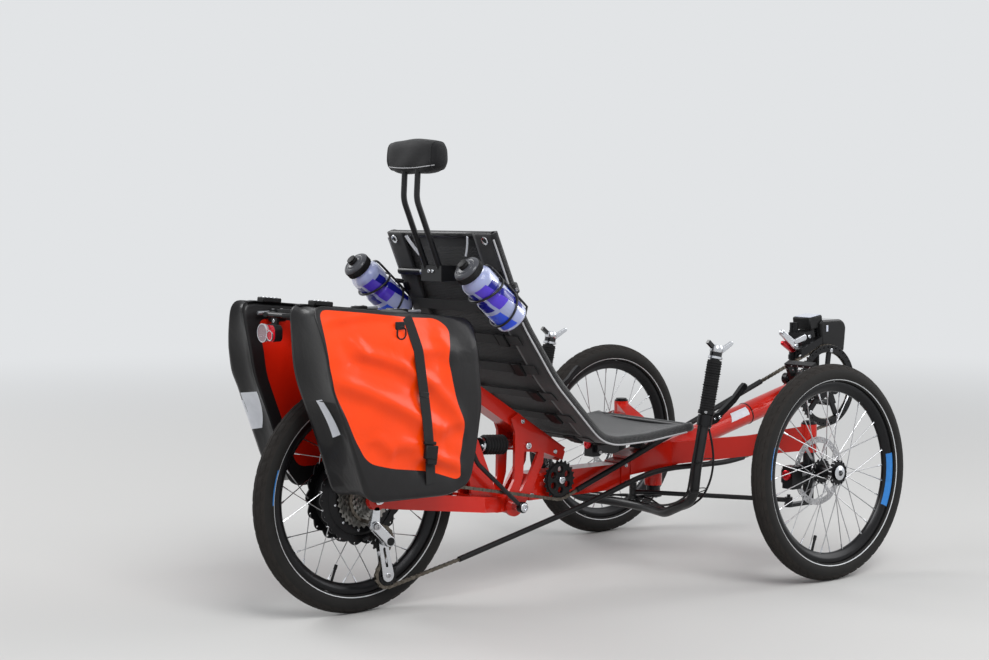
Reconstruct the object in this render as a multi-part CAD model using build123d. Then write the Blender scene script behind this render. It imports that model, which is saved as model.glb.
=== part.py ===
from build123d import *
import os
from math import atan2, cos, degrees, hypot, radians, sin, tan

# A full-suspension recumbent tadpole trike with 20-inch wheels: two steered
# wheels in front, a hub motor in the rear wheel, a mesh seat, under-seat
# steering, two panniers on a rack and a headrest.
#
# Sizes are in millimetres. While a piece is made, X runs forward from the
# rear axle, Y to the rider's left and Z up from the ground. At the end all
# pieces shift together so that the origin is the bottom centre of the whole.

RIGHT, LEFT = -1, 1
SIDES = ((RIGHT, "right"), (LEFT, "left"))

# Clearances
SEAT_GAP = 0.3          # between two still pieces that seat on each other
RUN_GAP = 0.05          # radial gap of a shaft that turns in its bore
TURN_GAP = 0.5          # end gap beside a turning piece

# Wheels
TYRE_R = 250.0
TYRE_W = 47.0
RIM_R = TYRE_R - 41.0
RIM_DEPTH = 23.0
RIM_W = 26.0
RIM_NOSE_W = 9.0
SPOKE_W = 2.2
SPOKE_FAMILY = 8        # spokes of each of the four ways a spoke can lie

# Axle places
WHEELBASE = 1050.0
TRACK = 780.0
CAMBER = 2.0
KINGPIN_Y = 325.0
KINGPIN_R = 8.0
HEAD_R = 18.5           # steering head around the kingpin
HEAD_LOW, HEAD_HIGH = 290.0, 355.0

# Front hubs and brakes
AXLE_R = 7.0
HUB_R = 17.0
HUB_FLANGE_R = 30.0
HUB_FLANGE_Y = 24.0
HUB_FLANGE_T = 3.6
HUB_HALF = 31.0
ROTOR_R = 80.0
ROTOR_T = 2.0
ROTOR_Y = 36.0          # inboard of the wheel's middle plane

# Rear hub
REAR_AXLE_R = 6.0
REAR_AXLE_END = 94.3    # the axle's ends stand out of the nuts
MOTOR_R = 84.0
MOTOR_Y = (-24.0, 46.0)
MOTOR_FLANGE_R = 104.0
MOTOR_FLANGE_Y = (-17.0, 37.0)
FLANGE_T = 4.0

# Main frame
MAIN_W = 54.0
MAIN_X = (450.0, 729.0)
MAIN_Z = (197.0, 257.0)
FLANGE_X = 757.0        # front face of the joint flange
PLATE_T = 8.0
PIVOT = (403.0, 191.0)
PIVOT_BOSS_R = 24.0
PIVOT_BOLT_R = 8.0
SHOCK_FRONT = (439.0, 324.0)
SHOCK_REAR = (288.0, 334.0)
BEAM_W = 64.0
BEAM_END = 975.0

# Boom and cranks
BOOM_R = 27.0
BB = (1420.0, 402.0)
BOOM_SLOPE = 13.9
BOOM_INSERT = 110.0
BB_SHELL_R = 21.0
BB_SHELL_HALF = 34.0
SPINDLE_R = 11.0
CRANK = 170.0
CRANK_ANGLE = 170.0     # the right crank, from forward, turning upward
CRANK_Y = 70.0
CRANK_T = 14.0
PEDAL_AXLE_R = 6.0
PEDAL_W = 90.0
PEDAL_L = 96.0
PEDAL_T = 18.0
PEDAL_TILT = 65.0

# Post for the front derailleur; accessories clamp on its upper stub
POST_X = 1352.0
POST_TOP = 545.0
STUB_L = 20.0
STUB_R = 11.1

# Chain line
CHAIN_Y = -48.0
CHAIN_W = 7.0
CHAIN_INNER_W = 5.0     # over an inner link's plates
CHAIN_H = 8.0
CHAIN_WAIST = 5.6       # height of a plate between its two round ends
CHAIN_PITCH = 12.7
CHAIN_LIFT = 0.8        # the links' chords cut inside the line that their pins follow
RING_R = 101.0
RING_T = 4.0
RING_TEETH = 50
TOOTH_H = 4.0
IDLER = (522.0, 241.0)
IDLER_R = 40.0
COG_R = 48.0
PULLEY_R = 22.0
PULLEY_UP = (30.0, TYRE_R - 90.0)
PULLEY_LOW = (44.0, TYRE_R - 168.0)
HANGER_PIN = (-6.0, TYRE_R - 54.0)
TUBE_R = 6.5

# Steering bar
STEER_X = 860.0
STEER_ARM = 66.0
SADDLE_X = STEER_X - 54.0    # where the bar's middle holds its plate
BAR_R = 11.0
BAR_Z = 150.0
POST_R = 17.0
ROD_R = 5.5
LUG_T = 12.0            # plate that carries the brake caliper
PAD_GAP = 5.0           # from the disc's middle to the caliper's wall
PAD_WALL = 2.5          # the caliper's wall beside the spokes
EYE_R = 9.0
EYE_H = 14.0
EYE_PIN_R = 4.0
EYE_GAP = 0.3
ROD_Z = 183.0           # middle of the outer eyes
GRIP_R = 16.0
GRIP_Y = 290.0
GRIP_TOP = (775.0, 519.0)   # end of the bar: x, z
GRIP_FOOT = (736.0, 345.0)  # where the straight grip part begins

# Brake lever seen from the side: its clamp's body and its bent blade with a round tip
LEVER_BODY = ((758.0, 371.0), (778.0, 376.0), (792.0, 388.0), (788.0, 398.0), (772.0, 398.0), (760.0, 392.0))
LEVER_BLADE = (
    (784.0, 383.0), (806.0, 396.0), (838.0, 417.0), (862.0, 439.0), (873.0, 446.0), (875.0, 455.0),
    (867.0, 460.0), (857.0, 453.0), (832.0, 429.0), (802.0, 409.0), (781.0, 396.0),
)

# Cables on the bar, from the levers and shifters down to the steering plate. Routes are x, y, z
CABLE_R = 2.5
BRAKE_ROUTE = (
    (757.0, 290.0, 364.7), (768.0, 290.0, 328.0), (776.0, 288.0, 288.0), (772.0, 283.0, 245.0), (762.0, 270.0, 207.0),
    (764.0, 228.0, 178.0), (772.0, 180.0, 161.0), (783.0, 130.0, 156.0), (796.0, 85.0, 161.0), (810.0, 45.0, 167.0),
    (817.0, 13.9, 167.5),
)
SHIFT_ROUTE = (
    (725.5, 290.0, 373.0), (719.0, 289.0, 334.0), (711.0, 286.0, 292.0), (710.0, 279.0, 250.0), (717.0, 263.0, 212.0),
    (726.0, 222.0, 190.0), (738.0, 178.0, 177.0), (752.0, 134.0, 169.0), (768.0, 92.0, 168.5), (782.0, 54.0, 167.5),
    (796.0, 14.8, 168.0),
)

# Seat
SEAT_HALF = 185.0
SEAT_BASE_HALF = 160.0
SEAT_TUBE_R = 8.0
SLING_T = 12.0
# Seat line seen from the side, front edge first: x, z, bend radius
SEAT_LINE = (
    (828.0, 350.0, 0.0),
    (690.0, 336.0, 150.0),
    (560.0, 334.0, 130.0),
    (396.0, 484.0, 260.0),
    (300.0, 622.0, 400.0),
    (222.0, 806.0, 0.0),
)

SEAT_HALVES = (SEAT_BASE_HALF,) * 3 + (SEAT_HALF,) * 3   # half width at each corner

# Headrest
PAD_AT = (160.0, 0.0, 968.0)
PAD_SIZE = (62.0, 200.0, 84.0)
POST_GAP = 48.0
HEAD_POST_R = 6.5
HEAD_TUBE = (245.0, 716.5)  # cross tube that the headrest clamps to
# Headrest post seen from the side, from the clamp up: x, z
HEAD_POST = ((208.0, 716.0), (142.0, 876.0), (146.0, 948.0))

# Rack and bags
RACK_Z = 640.0
RACK_X = (-200.0, 150.0)
RACK_HALF = 55.0
RACK_TUBE_R = 5.0
STRUT_Y = 60.0          # the rack's front struts pass outside the chain
BAG_Y = {RIGHT: (82.0, 222.0), LEFT: (82.0, 180.0)}     # the left bag is emptier
HOOK_X = (-145.0, 60.0)     # hooks that hang each bag on the rack
# Bag outline seen from the side: x, z
BAG_LINE = (
    (-224.0, RACK_Z + 34.0),
    (166.0, RACK_Z - 8.0),
    (182.0, 450.0),
    (150.0, TYRE_R + 36.0),
    (96.0, TYRE_R + 12.0),
    (-116.0, TYRE_R + 16.0),
    (-160.0, 400.0),
    (-206.0, 520.0),
)

# Bottles
BOTTLE_R = 36.0
BOTTLE_L = 150.0
BOTTLE_CAP_L = 34.0
BOTTLE_LOW = (262.0, 205.0, 622.0)
BOTTLE_TOP = (128.0, 205.0, 742.0)


# Lamps
LAMP_X = (-215.0, -197.0)
LAMP_Z = RACK_Z - 36.0
HEAD_LAMP_X = (1411.0, 1511.0)
HEAD_LAMP_Z = (488.0, 570.0)


def rod(start, end, radius):
    """A straight round bar between two points."""
    a, b = Vector(*start), Vector(*end)
    return extrude(Plane(origin=a, z_dir=b - a) * Circle(radius), amount=(b - a).length)


def cross_rod(x, z, y_low, y_high, radius):
    """A round bar that lies across the trike."""
    return rod((x, y_low, z), (x, y_high, z), radius)


def upright_rod(x, y, z_low, z_high, radius):
    return rod((x, y, z_low), (x, y, z_high), radius)


def slab(face, y_low, y_high):
    """A side-view outline made into a plate between two Y values."""
    low, high = min(y_low, y_high), max(y_low, y_high)
    plane = Plane(origin=(0, high, 0), x_dir=(1, 0, 0), z_dir=(0, -1, 0))
    return extrude(plane * face, amount=high - low)


def outline(points):
    """A flat face from corner points, listed in either direction."""
    points = list(points)
    area = sum(a[0] * b[1] - b[0] * a[1] for a, b in zip(points, points[1:] + points[:1]))
    if area < 0:
        points.reverse()
    return Polygon(*points, align=None)


def disc(x, z, radius):
    return Pos(x, z) * Circle(radius)


def bent_tube(points, bends, radius):
    """A tube with a round bend at each inner point."""
    path = FilletPolyline(*points, radius=bends)
    profile = Plane(origin=path @ 0, z_dir=path % 0) * Circle(radius)
    return sweep(profile, path=path)


def turned(points):
    """A solid of revolution about Y from points of radius and y."""
    return revolve(Plane.XY * outline(points), axis=Axis.Y)


def bar_2d(a, b, width):
    """A straight strip between two side-view points."""
    length = hypot(b[0] - a[0], b[1] - a[1])
    angle = degrees(atan2(b[1] - a[1], b[0] - a[0]))
    middle = ((a[0] + b[0]) / 2, (a[1] + b[1]) / 2)
    return Pos(*middle) * Rot(Z=angle) * Rectangle(length, width)


def star(count, outer, inner):
    """A lobed flange outline with flat lobes."""
    step = 360 / count
    points = []
    for i in range(count):
        for turn, radius in ((-0.32, outer), (0.32, outer), (0.5, inner)):
            angle = radians((i + turn) * step)
            points.append((radius * cos(angle), radius * sin(angle)))
    return outline(points)


# Wheels

def tyre():
    middle = TYRE_R - TYRE_W / 2
    half = TYRE_W / 2
    seat = RIM_R + SEAT_GAP
    seat_half = (half ** 2 - (middle - seat) ** 2) ** 0.5
    tread = ThreePointArc((seat, -seat_half), (TYRE_R, 0), (seat, seat_half))
    foot = Line((seat, seat_half), (seat, -seat_half))
    return revolve(make_face([tread, foot]), axis=Axis.Y)


def rim():
    nose = RIM_R - RIM_DEPTH
    wall = RIM_R - RIM_DEPTH * 0.42
    return turned((
        (RIM_R, -RIM_W / 2), (RIM_R, RIM_W / 2), (wall, RIM_W / 2),
        (nose, RIM_NOSE_W / 2), (nose, -RIM_NOSE_W / 2), (wall, -RIM_W / 2),
    ))


def spokes(edge_r, inset, flange_ys, flange_t, lead):
    """Laced spokes: each flange has leading and trailing ones.

    A spoke's hub end lies on the flange, inset from its edge. One on the
    flange's outer face starts further out, because it leans inward.
    """
    pieces = []
    beside = (flange_t + SPOKE_W) / 2 + SEAT_GAP
    nose = RIM_R - RIM_DEPTH - 2 * SEAT_GAP
    flange_r = edge_r - inset
    # way: flange, direction of lean, side of the flange
    ways = ((0, 1, 1), (1, 1, -1), (0, -1, -1), (1, -1, 1))
    for number, (flange, lean, lift) in enumerate(ways):
        for k in range(SPOKE_FAMILY):
            rim_angle = radians((k + number / 4) * 360 / SPOKE_FAMILY)
            hub_angle = rim_angle - lean * radians(lead)
            flange_y = flange_ys[flange]
            outward = lift * flange_y > 0
            lean_in = 1.7 * inset * abs(flange_y) / (nose - flange_r) if outward else 0
            y_hub = flange_y + lift * (beside + lean_in)
            y_rim = 2.0 if flange_y > 0 else -2.0
            hub_end = (flange_r * cos(hub_angle), y_hub, flange_r * sin(hub_angle))
            rim_end = (nose * cos(rim_angle), y_rim, nose * sin(rim_angle))
            along = Vector(*rim_end) - Vector(*hub_end)
            side = Rectangle(SPOKE_W, SPOKE_W)
            plane = Plane(origin=hub_end, x_dir=along.cross(Vector(0, 1, 0)), z_dir=along)
            pieces.append(extrude(plane * side, amount=along.length))
    return Compound(children=pieces)


def front_hub(side):
    """Hub shell; its outer end has the plus side's y before the turn."""
    inner = ROTOR_Y - ROTOR_T / 2 - SEAT_GAP
    shell = turned([(r, side * y) for r, y in (
        (AXLE_R + RUN_GAP, -inner), (HUB_R + 3, -inner), (HUB_R, -HUB_FLANGE_Y),
        (HUB_R - 3, 0), (HUB_R, HUB_FLANGE_Y), (HUB_R, HUB_HALF), (AXLE_R + RUN_GAP, HUB_HALF),
    )])
    hole = Circle(AXLE_R + 2)
    for y in (-HUB_FLANGE_Y, HUB_FLANGE_Y):
        face = star(16, HUB_FLANGE_R, HUB_FLANGE_R - 4) - hole
        flange = slab(face, y - HUB_FLANGE_T / 2, y + HUB_FLANGE_T / 2)
        shell = shell + flange
    return shell


def rotor():
    ring = Circle(ROTOR_R) - Circle(ROTOR_R - 15)
    centre = Circle(HUB_R + 5) - Circle(AXLE_R + 1)
    arms = [Rot(Z=72 * k) * Pos((ROTOR_R + HUB_R - 6) / 2, 0) * Rectangle(ROTOR_R - HUB_R - 10, 9)
            for k in range(5)]
    return slab(ring + centre + arms, -ROTOR_T / 2, ROTOR_T / 2)


def wheel_centre_z():
    """Height of a leaning wheel that stands on the ground."""
    middle = TYRE_R - TYRE_W / 2
    return middle * cos(radians(CAMBER)) + TYRE_W / 2


def on_front_axle(shape, side):
    centre = Pos(WHEELBASE, side * TRACK / 2, wheel_centre_z())
    return centre * Rot(X=side * CAMBER) * shape


def front_wheels():
    nodes = {}
    flange_ys = (HUB_FLANGE_Y, -HUB_FLANGE_Y)
    for side, name in SIDES:
        pieces = {
            "tyre": tyre(),
            "rim": rim(),
            "spokes": spokes(HUB_FLANGE_R, 3, flange_ys, HUB_FLANGE_T, 45),
            "hub": front_hub(side),
            "rotor": Pos(0, -side * ROTOR_Y, 0) * rotor(),
        }
        for piece, shape in pieces.items():
            nodes[f"{piece}_{name}"] = on_front_axle(shape, side)
    return nodes


def hub_motor():
    shell = turned((
        (REAR_AXLE_R + RUN_GAP, MOTOR_Y[0]), (MOTOR_R - 8, MOTOR_Y[0]), (MOTOR_R, MOTOR_Y[0] + 8),
        (MOTOR_R, MOTOR_Y[1] - 8), (MOTOR_R - 8, MOTOR_Y[1]), (30, MOTOR_Y[1] + 6),
        (24, MOTOR_Y[1] + 16), (REAR_AXLE_R + RUN_GAP, MOTOR_Y[1] + 16),
    ))
    hole = Circle(MOTOR_R - 3)
    for y in MOTOR_FLANGE_Y:
        flange = slab(star(18, MOTOR_FLANGE_R, MOTOR_FLANGE_R - 7) - hole, y - FLANGE_T / 2, y + FLANGE_T / 2)
        shell = shell + flange
    return shell


def cassette():
    """Nine cogs on a carrier; the chain lies on a middle one."""
    y_start, pitch, thick = -26.0, 4.35, 1.8
    # radius of each cog, the biggest beside the motor
    cogs = (66.0, 60.0, 54.0, 48.5, 42.0, 36.0, 31.0, 27.0, 24.0)
    points = [(REAR_AXLE_R + RUN_GAP, MOTOR_Y[0] - SEAT_GAP), (22.0, MOTOR_Y[0] - SEAT_GAP)]
    for k, radius in enumerate(cogs):
        y = y_start - k * pitch
        points += [(18.0, y), (radius, y), (radius, y - thick), (18.0, y - thick)]
    points += [(REAR_AXLE_R + RUN_GAP, y - thick)]
    return turned(points)


def rear_wheel():
    at_axle = Pos(0, 0, TYRE_R)
    nodes = {
        "rear_tyre": tyre(),
        "rear_rim": rim(),
        "rear_spokes": spokes(MOTOR_FLANGE_R, 4, MOTOR_FLANGE_Y[::-1], FLANGE_T, 22.5),
        "hub_motor": hub_motor(),
        "cassette": cassette(),
    }
    return {name: at_axle * shape for name, shape in nodes.items()}


# Frame

def boom_z(x):
    """Height of the boom's axis."""
    return BB[1] - (BB[0] - x) * tan(radians(BOOM_SLOPE))


def beam_profile():
    return outline((
        (FLANGE_X, 228.0), (STEER_X + 45.0, 239.0), (BEAM_END, boom_z(BEAM_END) - BOOM_R - 8),
        (BEAM_END, boom_z(BEAM_END) + BOOM_R + 6), (FLANGE_X, boom_z(FLANGE_X) + BOOM_R + 6),
    ))


def boom_rod(radius, start_x, end_x):
    return rod((start_x, 0, boom_z(start_x)), (end_x, 0, boom_z(end_x)), radius)


def main_tube():
    half = MAIN_W / 2
    tube = slab(outline((
        (MAIN_X[0], MAIN_Z[0]), (MAIN_X[1], MAIN_Z[0]), (MAIN_X[1], MAIN_Z[1]), (MAIN_X[0], MAIN_Z[1]),
    )), -half, half)
    flange = slab(outline((
        (MAIN_X[1], MAIN_Z[0] + 3), (FLANGE_X, MAIN_Z[0] + 5), (FLANGE_X, MAIN_Z[1] + 8), (MAIN_X[1], MAIN_Z[1] + 3),
    )), -half - 3, half + 3)
    return tube + flange


def side_plates():
    """V-shaped plates from the swing arm's pivot up to the seat rail."""
    edge = outline((
        (381, 205), (386, 224), (402, 250), (404, 356), (392, 388), (413, 400), (468, 358),
        (530, 318), (550, 302), (543, 283), (488, 304), (485, 280), (453, 222), (425, 182),
    ))
    slot = outline(((416, 224), (427, 258), (430, 311), (471, 307), (466, 294), (448, 262), (421, 222)))
    plate = edge + disc(*PIVOT, PIVOT_BOSS_R) - slot - disc(*PIVOT, PIVOT_BOLT_R + RUN_GAP)
    plate = plate - disc(*SHOCK_FRONT, 5 + RUN_GAP)
    inner = MAIN_W / 2
    pieces = [slab(plate, side * inner, side * (inner + PLATE_T)) for side, _ in SIDES]
    return Compound(children=pieces)


def seat_rail():
    strip = bar_2d((300, 453.5), (548, 295), 34)
    return slab(strip, -MAIN_W / 2, MAIN_W / 2)


def front_beam():
    """Carries the cross arms and the steering post and takes the boom."""
    beam = slab(beam_profile(), -BEAM_W / 2, BEAM_W / 2)
    post = upright_rod(STEER_X, 0, BAR_Z + 42, 238, POST_R + 4)
    bore = boom_rod(BOOM_R + RUN_GAP, BEAM_END - BOOM_INSERT, BEAM_END + 40)
    pin_hole = upright_rod(STEER_X, 0, BAR_Z, 232, POST_R / 2 + RUN_GAP)
    return beam + post - bore - pin_hole


def cross_arm(side):
    # section: distance from the middle, x, z, length along X, height
    sections = (
        (BEAM_W / 2, 928, 268, 74, 54),
        (200, 996, 297, 52, 49),
        (KINGPIN_Y, WHEELBASE, (HEAD_LOW + HEAD_HIGH) / 2, 34, 58),
    )
    faces = []
    for y, x, z, length, height in sections:
        plane = Plane(origin=(x, side * y, z), x_dir=(1, 0, 0), z_dir=(0, side, 0))
        faces.append(plane * Rectangle(length, height))
    arm = loft(faces, ruled=True)
    head = upright_rod(WHEELBASE, side * KINGPIN_Y, HEAD_LOW, HEAD_HIGH, HEAD_R)
    bore = upright_rod(WHEELBASE, side * KINGPIN_Y, HEAD_LOW - 5, HEAD_HIGH + 5, KINGPIN_R + RUN_GAP)
    return arm + head - bore


def boom():
    tube = boom_rod(BOOM_R, BEAM_END - BOOM_INSERT + 2, BB[0])
    shell = cross_rod(*BB, -BB_SHELL_HALF, BB_SHELL_HALF, BB_SHELL_R)
    bore = cross_rod(*BB, -BB_SHELL_HALF - 5, BB_SHELL_HALF + 5, SPINDLE_R + RUN_GAP)
    return tube + shell - bore


def swing_arm():
    """Two stays round the wheel, a yoke in front and the shock's tower."""
    axle = (0, TYRE_R)
    stay = bar_2d(axle, PIVOT, 34) + disc(*axle, 22)
    plan = outline((
        (-24, -80), (70, -80), (300, -58), (372, -26), (372, 26), (300, 58), (70, 80), (-24, 80),
        (-24, 68), (62, 68), (262, 42), (284, 22), (284, -22), (262, -42), (62, -68), (-24, -68),
    ))
    frame = slab(stay, -85, 85) & extrude(Pos(0, 0, 100) * plan, amount=250)
    half = MAIN_W / 2 - SEAT_GAP
    pivot = cross_rod(*PIVOT, -half, half, 20)
    neck = slab(bar_2d((340, 200.2), PIVOT, 30), -half, half)
    tower = outline(((292, 200), (372, 190), (330, 290), (306, 346), (276, 346), (272, 316)))
    cheeks = slab(tower, -26, -18) + slab(tower, 18, 26)
    clear_tyre = cross_rod(0, TYRE_R, -26.5, 26.5, TYRE_R + 12)
    body = frame + pivot + neck + cheeks - clear_tyre
    bolt = cross_rod(*PIVOT, -60, 60, PIVOT_BOLT_R + RUN_GAP)
    axle_hole = cross_rod(0, TYRE_R, -90, 90, REAR_AXLE_R + RUN_GAP)
    eye_hole = cross_rod(*SHOCK_REAR, -60, 60, 5 + RUN_GAP)
    return body - bolt - axle_hole - eye_hole


def pivot_bolts():
    """The swing arm's pivot bolt and the shock's two bolts."""
    reach = MAIN_W / 2 + PLATE_T
    pivot = cross_rod(*PIVOT, -reach, reach, PIVOT_BOLT_R)
    front = cross_rod(*SHOCK_FRONT, -reach, reach, 5)
    rear = cross_rod(*SHOCK_REAR, -26, 26, 5)
    pieces = [pivot, front, rear]
    for side, _ in SIDES:
        pieces[0] += cross_rod(*PIVOT, side * reach, side * (STRUT_Y - RACK_TUBE_R - SEAT_GAP), 10)
        pieces[1] += cross_rod(*SHOCK_FRONT, side * (reach + 3), side * reach, 7.5)
        pieces[2] += cross_rod(*SHOCK_REAR, side * 29, side * 26, 7.5)
    return Compound(children=pieces)


def shock():
    """Air shock with a bellows, an eye at each end."""
    front, rear = SHOCK_FRONT, SHOCK_REAR
    length = hypot(front[0] - rear[0], front[1] - rear[1])
    # distance from the rear eye, radius
    steps = ((10, 9), (22, 9), (22, 16), (52, 16), (52, 18.5), (108, 18.5), (108, 13), (length - 10, 13))
    points = [(0, 10)] + [(r, s) for s, r in steps] + [(0, length - 10)]
    body = revolve(Plane.XY * outline(points), axis=Axis.Y)
    slope = degrees(atan2(front[1] - rear[1], front[0] - rear[0]))
    lie = Pos(rear[0], 0, rear[1]) * Rot(Y=-slope) * Rot(Z=-90)
    body = lie * body
    for eye in (front, rear):
        body = body + cross_rod(*eye, -12, 12, 11)
    for eye in (front, rear):
        body = body - cross_rod(*eye, -20, 20, 5 + RUN_GAP)
    return body


def rear_axle():
    axle = cross_rod(0, TYRE_R, -REAR_AXLE_END, REAR_AXLE_END, REAR_AXLE_R)
    for side, _ in SIDES:
        nut = Pos(0, side * (80 + SEAT_GAP + 3), TYRE_R) * Rot(X=90) * extrude(RegularPolygon(10, 6), amount=3, both=True)
        axle = axle + nut
    return axle


# Chain

def tangent(centre_a, radius_a, centre_b, radius_b):
    """Tangent points on two circles; the sign of a radius picks the side.

    The line runs from the first circle to the second, and a plus radius
    touches with the circle on the line's right hand.
    """
    dx, dz = centre_b[0] - centre_a[0], centre_b[1] - centre_a[1]
    gap = hypot(dx, dz)
    heading = atan2(dz, dx)
    lean = radians(90) + atan2(radius_b - radius_a, (gap ** 2 - (radius_b - radius_a) ** 2) ** 0.5)
    angle = heading + lean
    return [(c[0] + r * cos(angle), c[1] + r * sin(angle))
            for c, r in ((centre_a, radius_a), (centre_b, radius_b))]


def arc_points(centre, start, end, left):
    """Points round a wheel from start to end, turning left or right."""
    radius = hypot(start[0] - centre[0], start[1] - centre[1])
    first = atan2(start[1] - centre[1], start[0] - centre[0])
    last = atan2(end[1] - centre[1], end[0] - centre[0])
    span = (last - first) % radians(360) if left else -((first - last) % radians(360))
    count = 24
    angles = [first + span * k / count for k in range(count + 1)]
    return [(centre[0] + radius * cos(t), centre[1] + radius * sin(t)) for t in angles]


def even_steps(line, step):
    """Points along a line, about a step apart, with both ends."""
    lengths = [hypot(b[0] - a[0], b[1] - a[1]) for a, b in zip(line, line[1:])]
    total = sum(lengths)
    count = round(total / step)
    points, passed, k = [], 0.0, 0
    for i in range(count + 1):
        wanted = total * i / count
        while k < len(lengths) - 1 and passed + lengths[k] < wanted:
            passed += lengths[k]
            k += 1
        share = min(1.0, (wanted - passed) / lengths[k])
        a, b = line[k], line[k + 1]
        points.append((a[0] + (b[0] - a[0]) * share, a[1] + (b[1] - a[1]) * share))
    return points


def beside(start, end, share, offset):
    """A point at a share of the way from start to end, offset to the left."""
    length = hypot(end[0] - start[0], end[1] - start[1])
    dx, dz = (end[0] - start[0]) / length, (end[1] - start[1]) / length
    return (start[0] + dx * length * share - dz * offset, start[1] + dz * length * share + dx * offset)


def chain_run(line):
    """A stretch of chain: a core of waisted inner links, and outer plates over every second link."""
    pins = even_steps(line, CHAIN_PITCH)
    links = list(zip(pins, pins[1:]))
    half, waist, step = CHAIN_H / 2, CHAIN_WAIST / 2, 0.3
    upper, lower = [pins[0]], []
    for k, (a, b) in enumerate(links):
        inner = ((0.2, half - step), (0.5, waist - step), (0.8, half - step))
        for share, height in inner if k % 2 == 0 else inner[1:2]:
            upper.append(beside(a, b, share, height))
            lower.append(beside(a, b, share, -height))
    core = outline(upper + [pins[-1]] + lower[::-1])
    run = slab(core, CHAIN_Y - CHAIN_INNER_W / 2, CHAIN_Y + CHAIN_INNER_W / 2)
    plates = []
    for a, b in links[1:-1:2]:
        ends = (beside(a, b, -0.25, 0), beside(a, b, 1.25, 0))
        top = [beside(a, b, share, half) for share in (0.1, 0.9)]
        foot = [beside(a, b, share, -half) for share in (0.9, 0.1)]
        flat = outline([ends[0]] + top + [ends[1]] + foot)
        plates.append(slab(flat, CHAIN_Y - CHAIN_W / 2, CHAIN_Y + CHAIN_W / 2))
    return run + plates


def short_of(start, end):
    """The point on the way to the end that leaves a small gap before it."""
    length = hypot(end[0] - start[0], end[1] - start[1])
    share = 1 - 0.5 / length
    return (start[0] + (end[0] - start[0]) * share, start[1] + (end[1] - start[1]) * share)


def chain():
    """Power run over the idler, and return run through the two pulleys."""
    ring = RING_R + 1.0 + CHAIN_LIFT
    axle = (0, TYRE_R)
    cog = COG_R
    idler_wrap = IDLER_R + CHAIN_H / 2 + SEAT_GAP + CHAIN_LIFT
    pulley = PULLEY_R + CHAIN_H / 2 + SEAT_GAP + CHAIN_LIFT
    top_rear = tangent(axle, cog, IDLER, -idler_wrap)
    top_front = tangent(IDLER, -idler_wrap, BB, ring)
    wrap = tangent(axle, -cog, PULLEY_UP, pulley)
    down = tangent(PULLEY_UP, pulley, PULLEY_LOW, -pulley)
    back = tangent(PULLEY_LOW, -pulley, RETURN_LINE[0], 0.0001)
    front = tangent(RETURN_LINE[-1], 0.0001, BB, -ring)
    mouth = power_tube_ends(top_front)
    rear_line = [short_of(top_front[0], mouth[0])]
    rear_line += arc_points(IDLER, top_front[0], top_rear[1], False)
    rear_line += arc_points(axle, top_rear[0], wrap[0], True)
    rear_line += arc_points(PULLEY_UP, wrap[1], down[0], False)
    rear_line += arc_points(PULLEY_LOW, down[1], back[0], True)
    rear_line += [short_of(*back)]
    front_line = [short_of(top_front[1], mouth[1])]
    front_line += arc_points(BB, top_front[1], front[1], False)
    front_line += [short_of(front[1], front[0])]
    return chain_run(rear_line) + chain_run(front_line)


# Return tube seen from the side: x, z, bend radius
RETURN_ROUTE = (
    (236.0, 92.0, 0.0),
    (587.0, 172.0, 700.0),
    (800.0, 231.0, 500.0),
    (880.0, 236.0, 600.0),
    (1060.0, 234.0, 500.0),
    (1120.0, 241.0, 0.0),
)
RETURN_LINE = tuple((x, z) for x, z, _ in RETURN_ROUTE)


def power_tube_ends(line):
    """The power tube covers this stretch of the power run."""
    (x0, z0), (x1, z1) = line
    slope = (z1 - z0) / (x1 - x0)
    return [(x, z0 + (x - x0) * slope) for x in (575.0, 1180.0)]


def chain_tubes():
    ring = RING_R + 1.0 + CHAIN_LIFT
    line = tangent(IDLER, -IDLER_R - CHAIN_H / 2 - SEAT_GAP - CHAIN_LIFT, BB, ring)
    (x0, z0), (x1, z1) = power_tube_ends(line)
    power = rod((x0, CHAIN_Y, z0), (x1, CHAIN_Y, z1), TUBE_R)
    points = [(x, CHAIN_Y, z) for x, z in RETURN_LINE]
    back = bent_tube(points, [r for _, _, r in RETURN_ROUTE[1:-1]], TUBE_R)
    return Compound(children=[power, back])


def idler():
    wheel = Circle(IDLER_R) - Circle(8)
    holes = [Rot(Z=60 * k + 30) * Pos(IDLER_R * 0.58, 0) * Circle(8) for k in range(6)]
    disc_solid = slab(Pos(*IDLER) * (wheel - holes), CHAIN_Y - 5, CHAIN_Y + 5)
    pin = cross_rod(*IDLER, CHAIN_Y - 9, -MAIN_W / 2, 7.5)
    return disc_solid + pin


def toothed(tip, depth, teeth):
    """A sprocket's outline with sloped teeth."""
    points = []
    for k in range(teeth):
        for turn, radius in ((-0.3, tip - depth), (-0.12, tip), (0.12, tip), (0.3, tip - depth)):
            angle = radians((k + turn) * 360 / teeth)
            points.append((radius * cos(angle), radius * sin(angle)))
    return outline(points)


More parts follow.
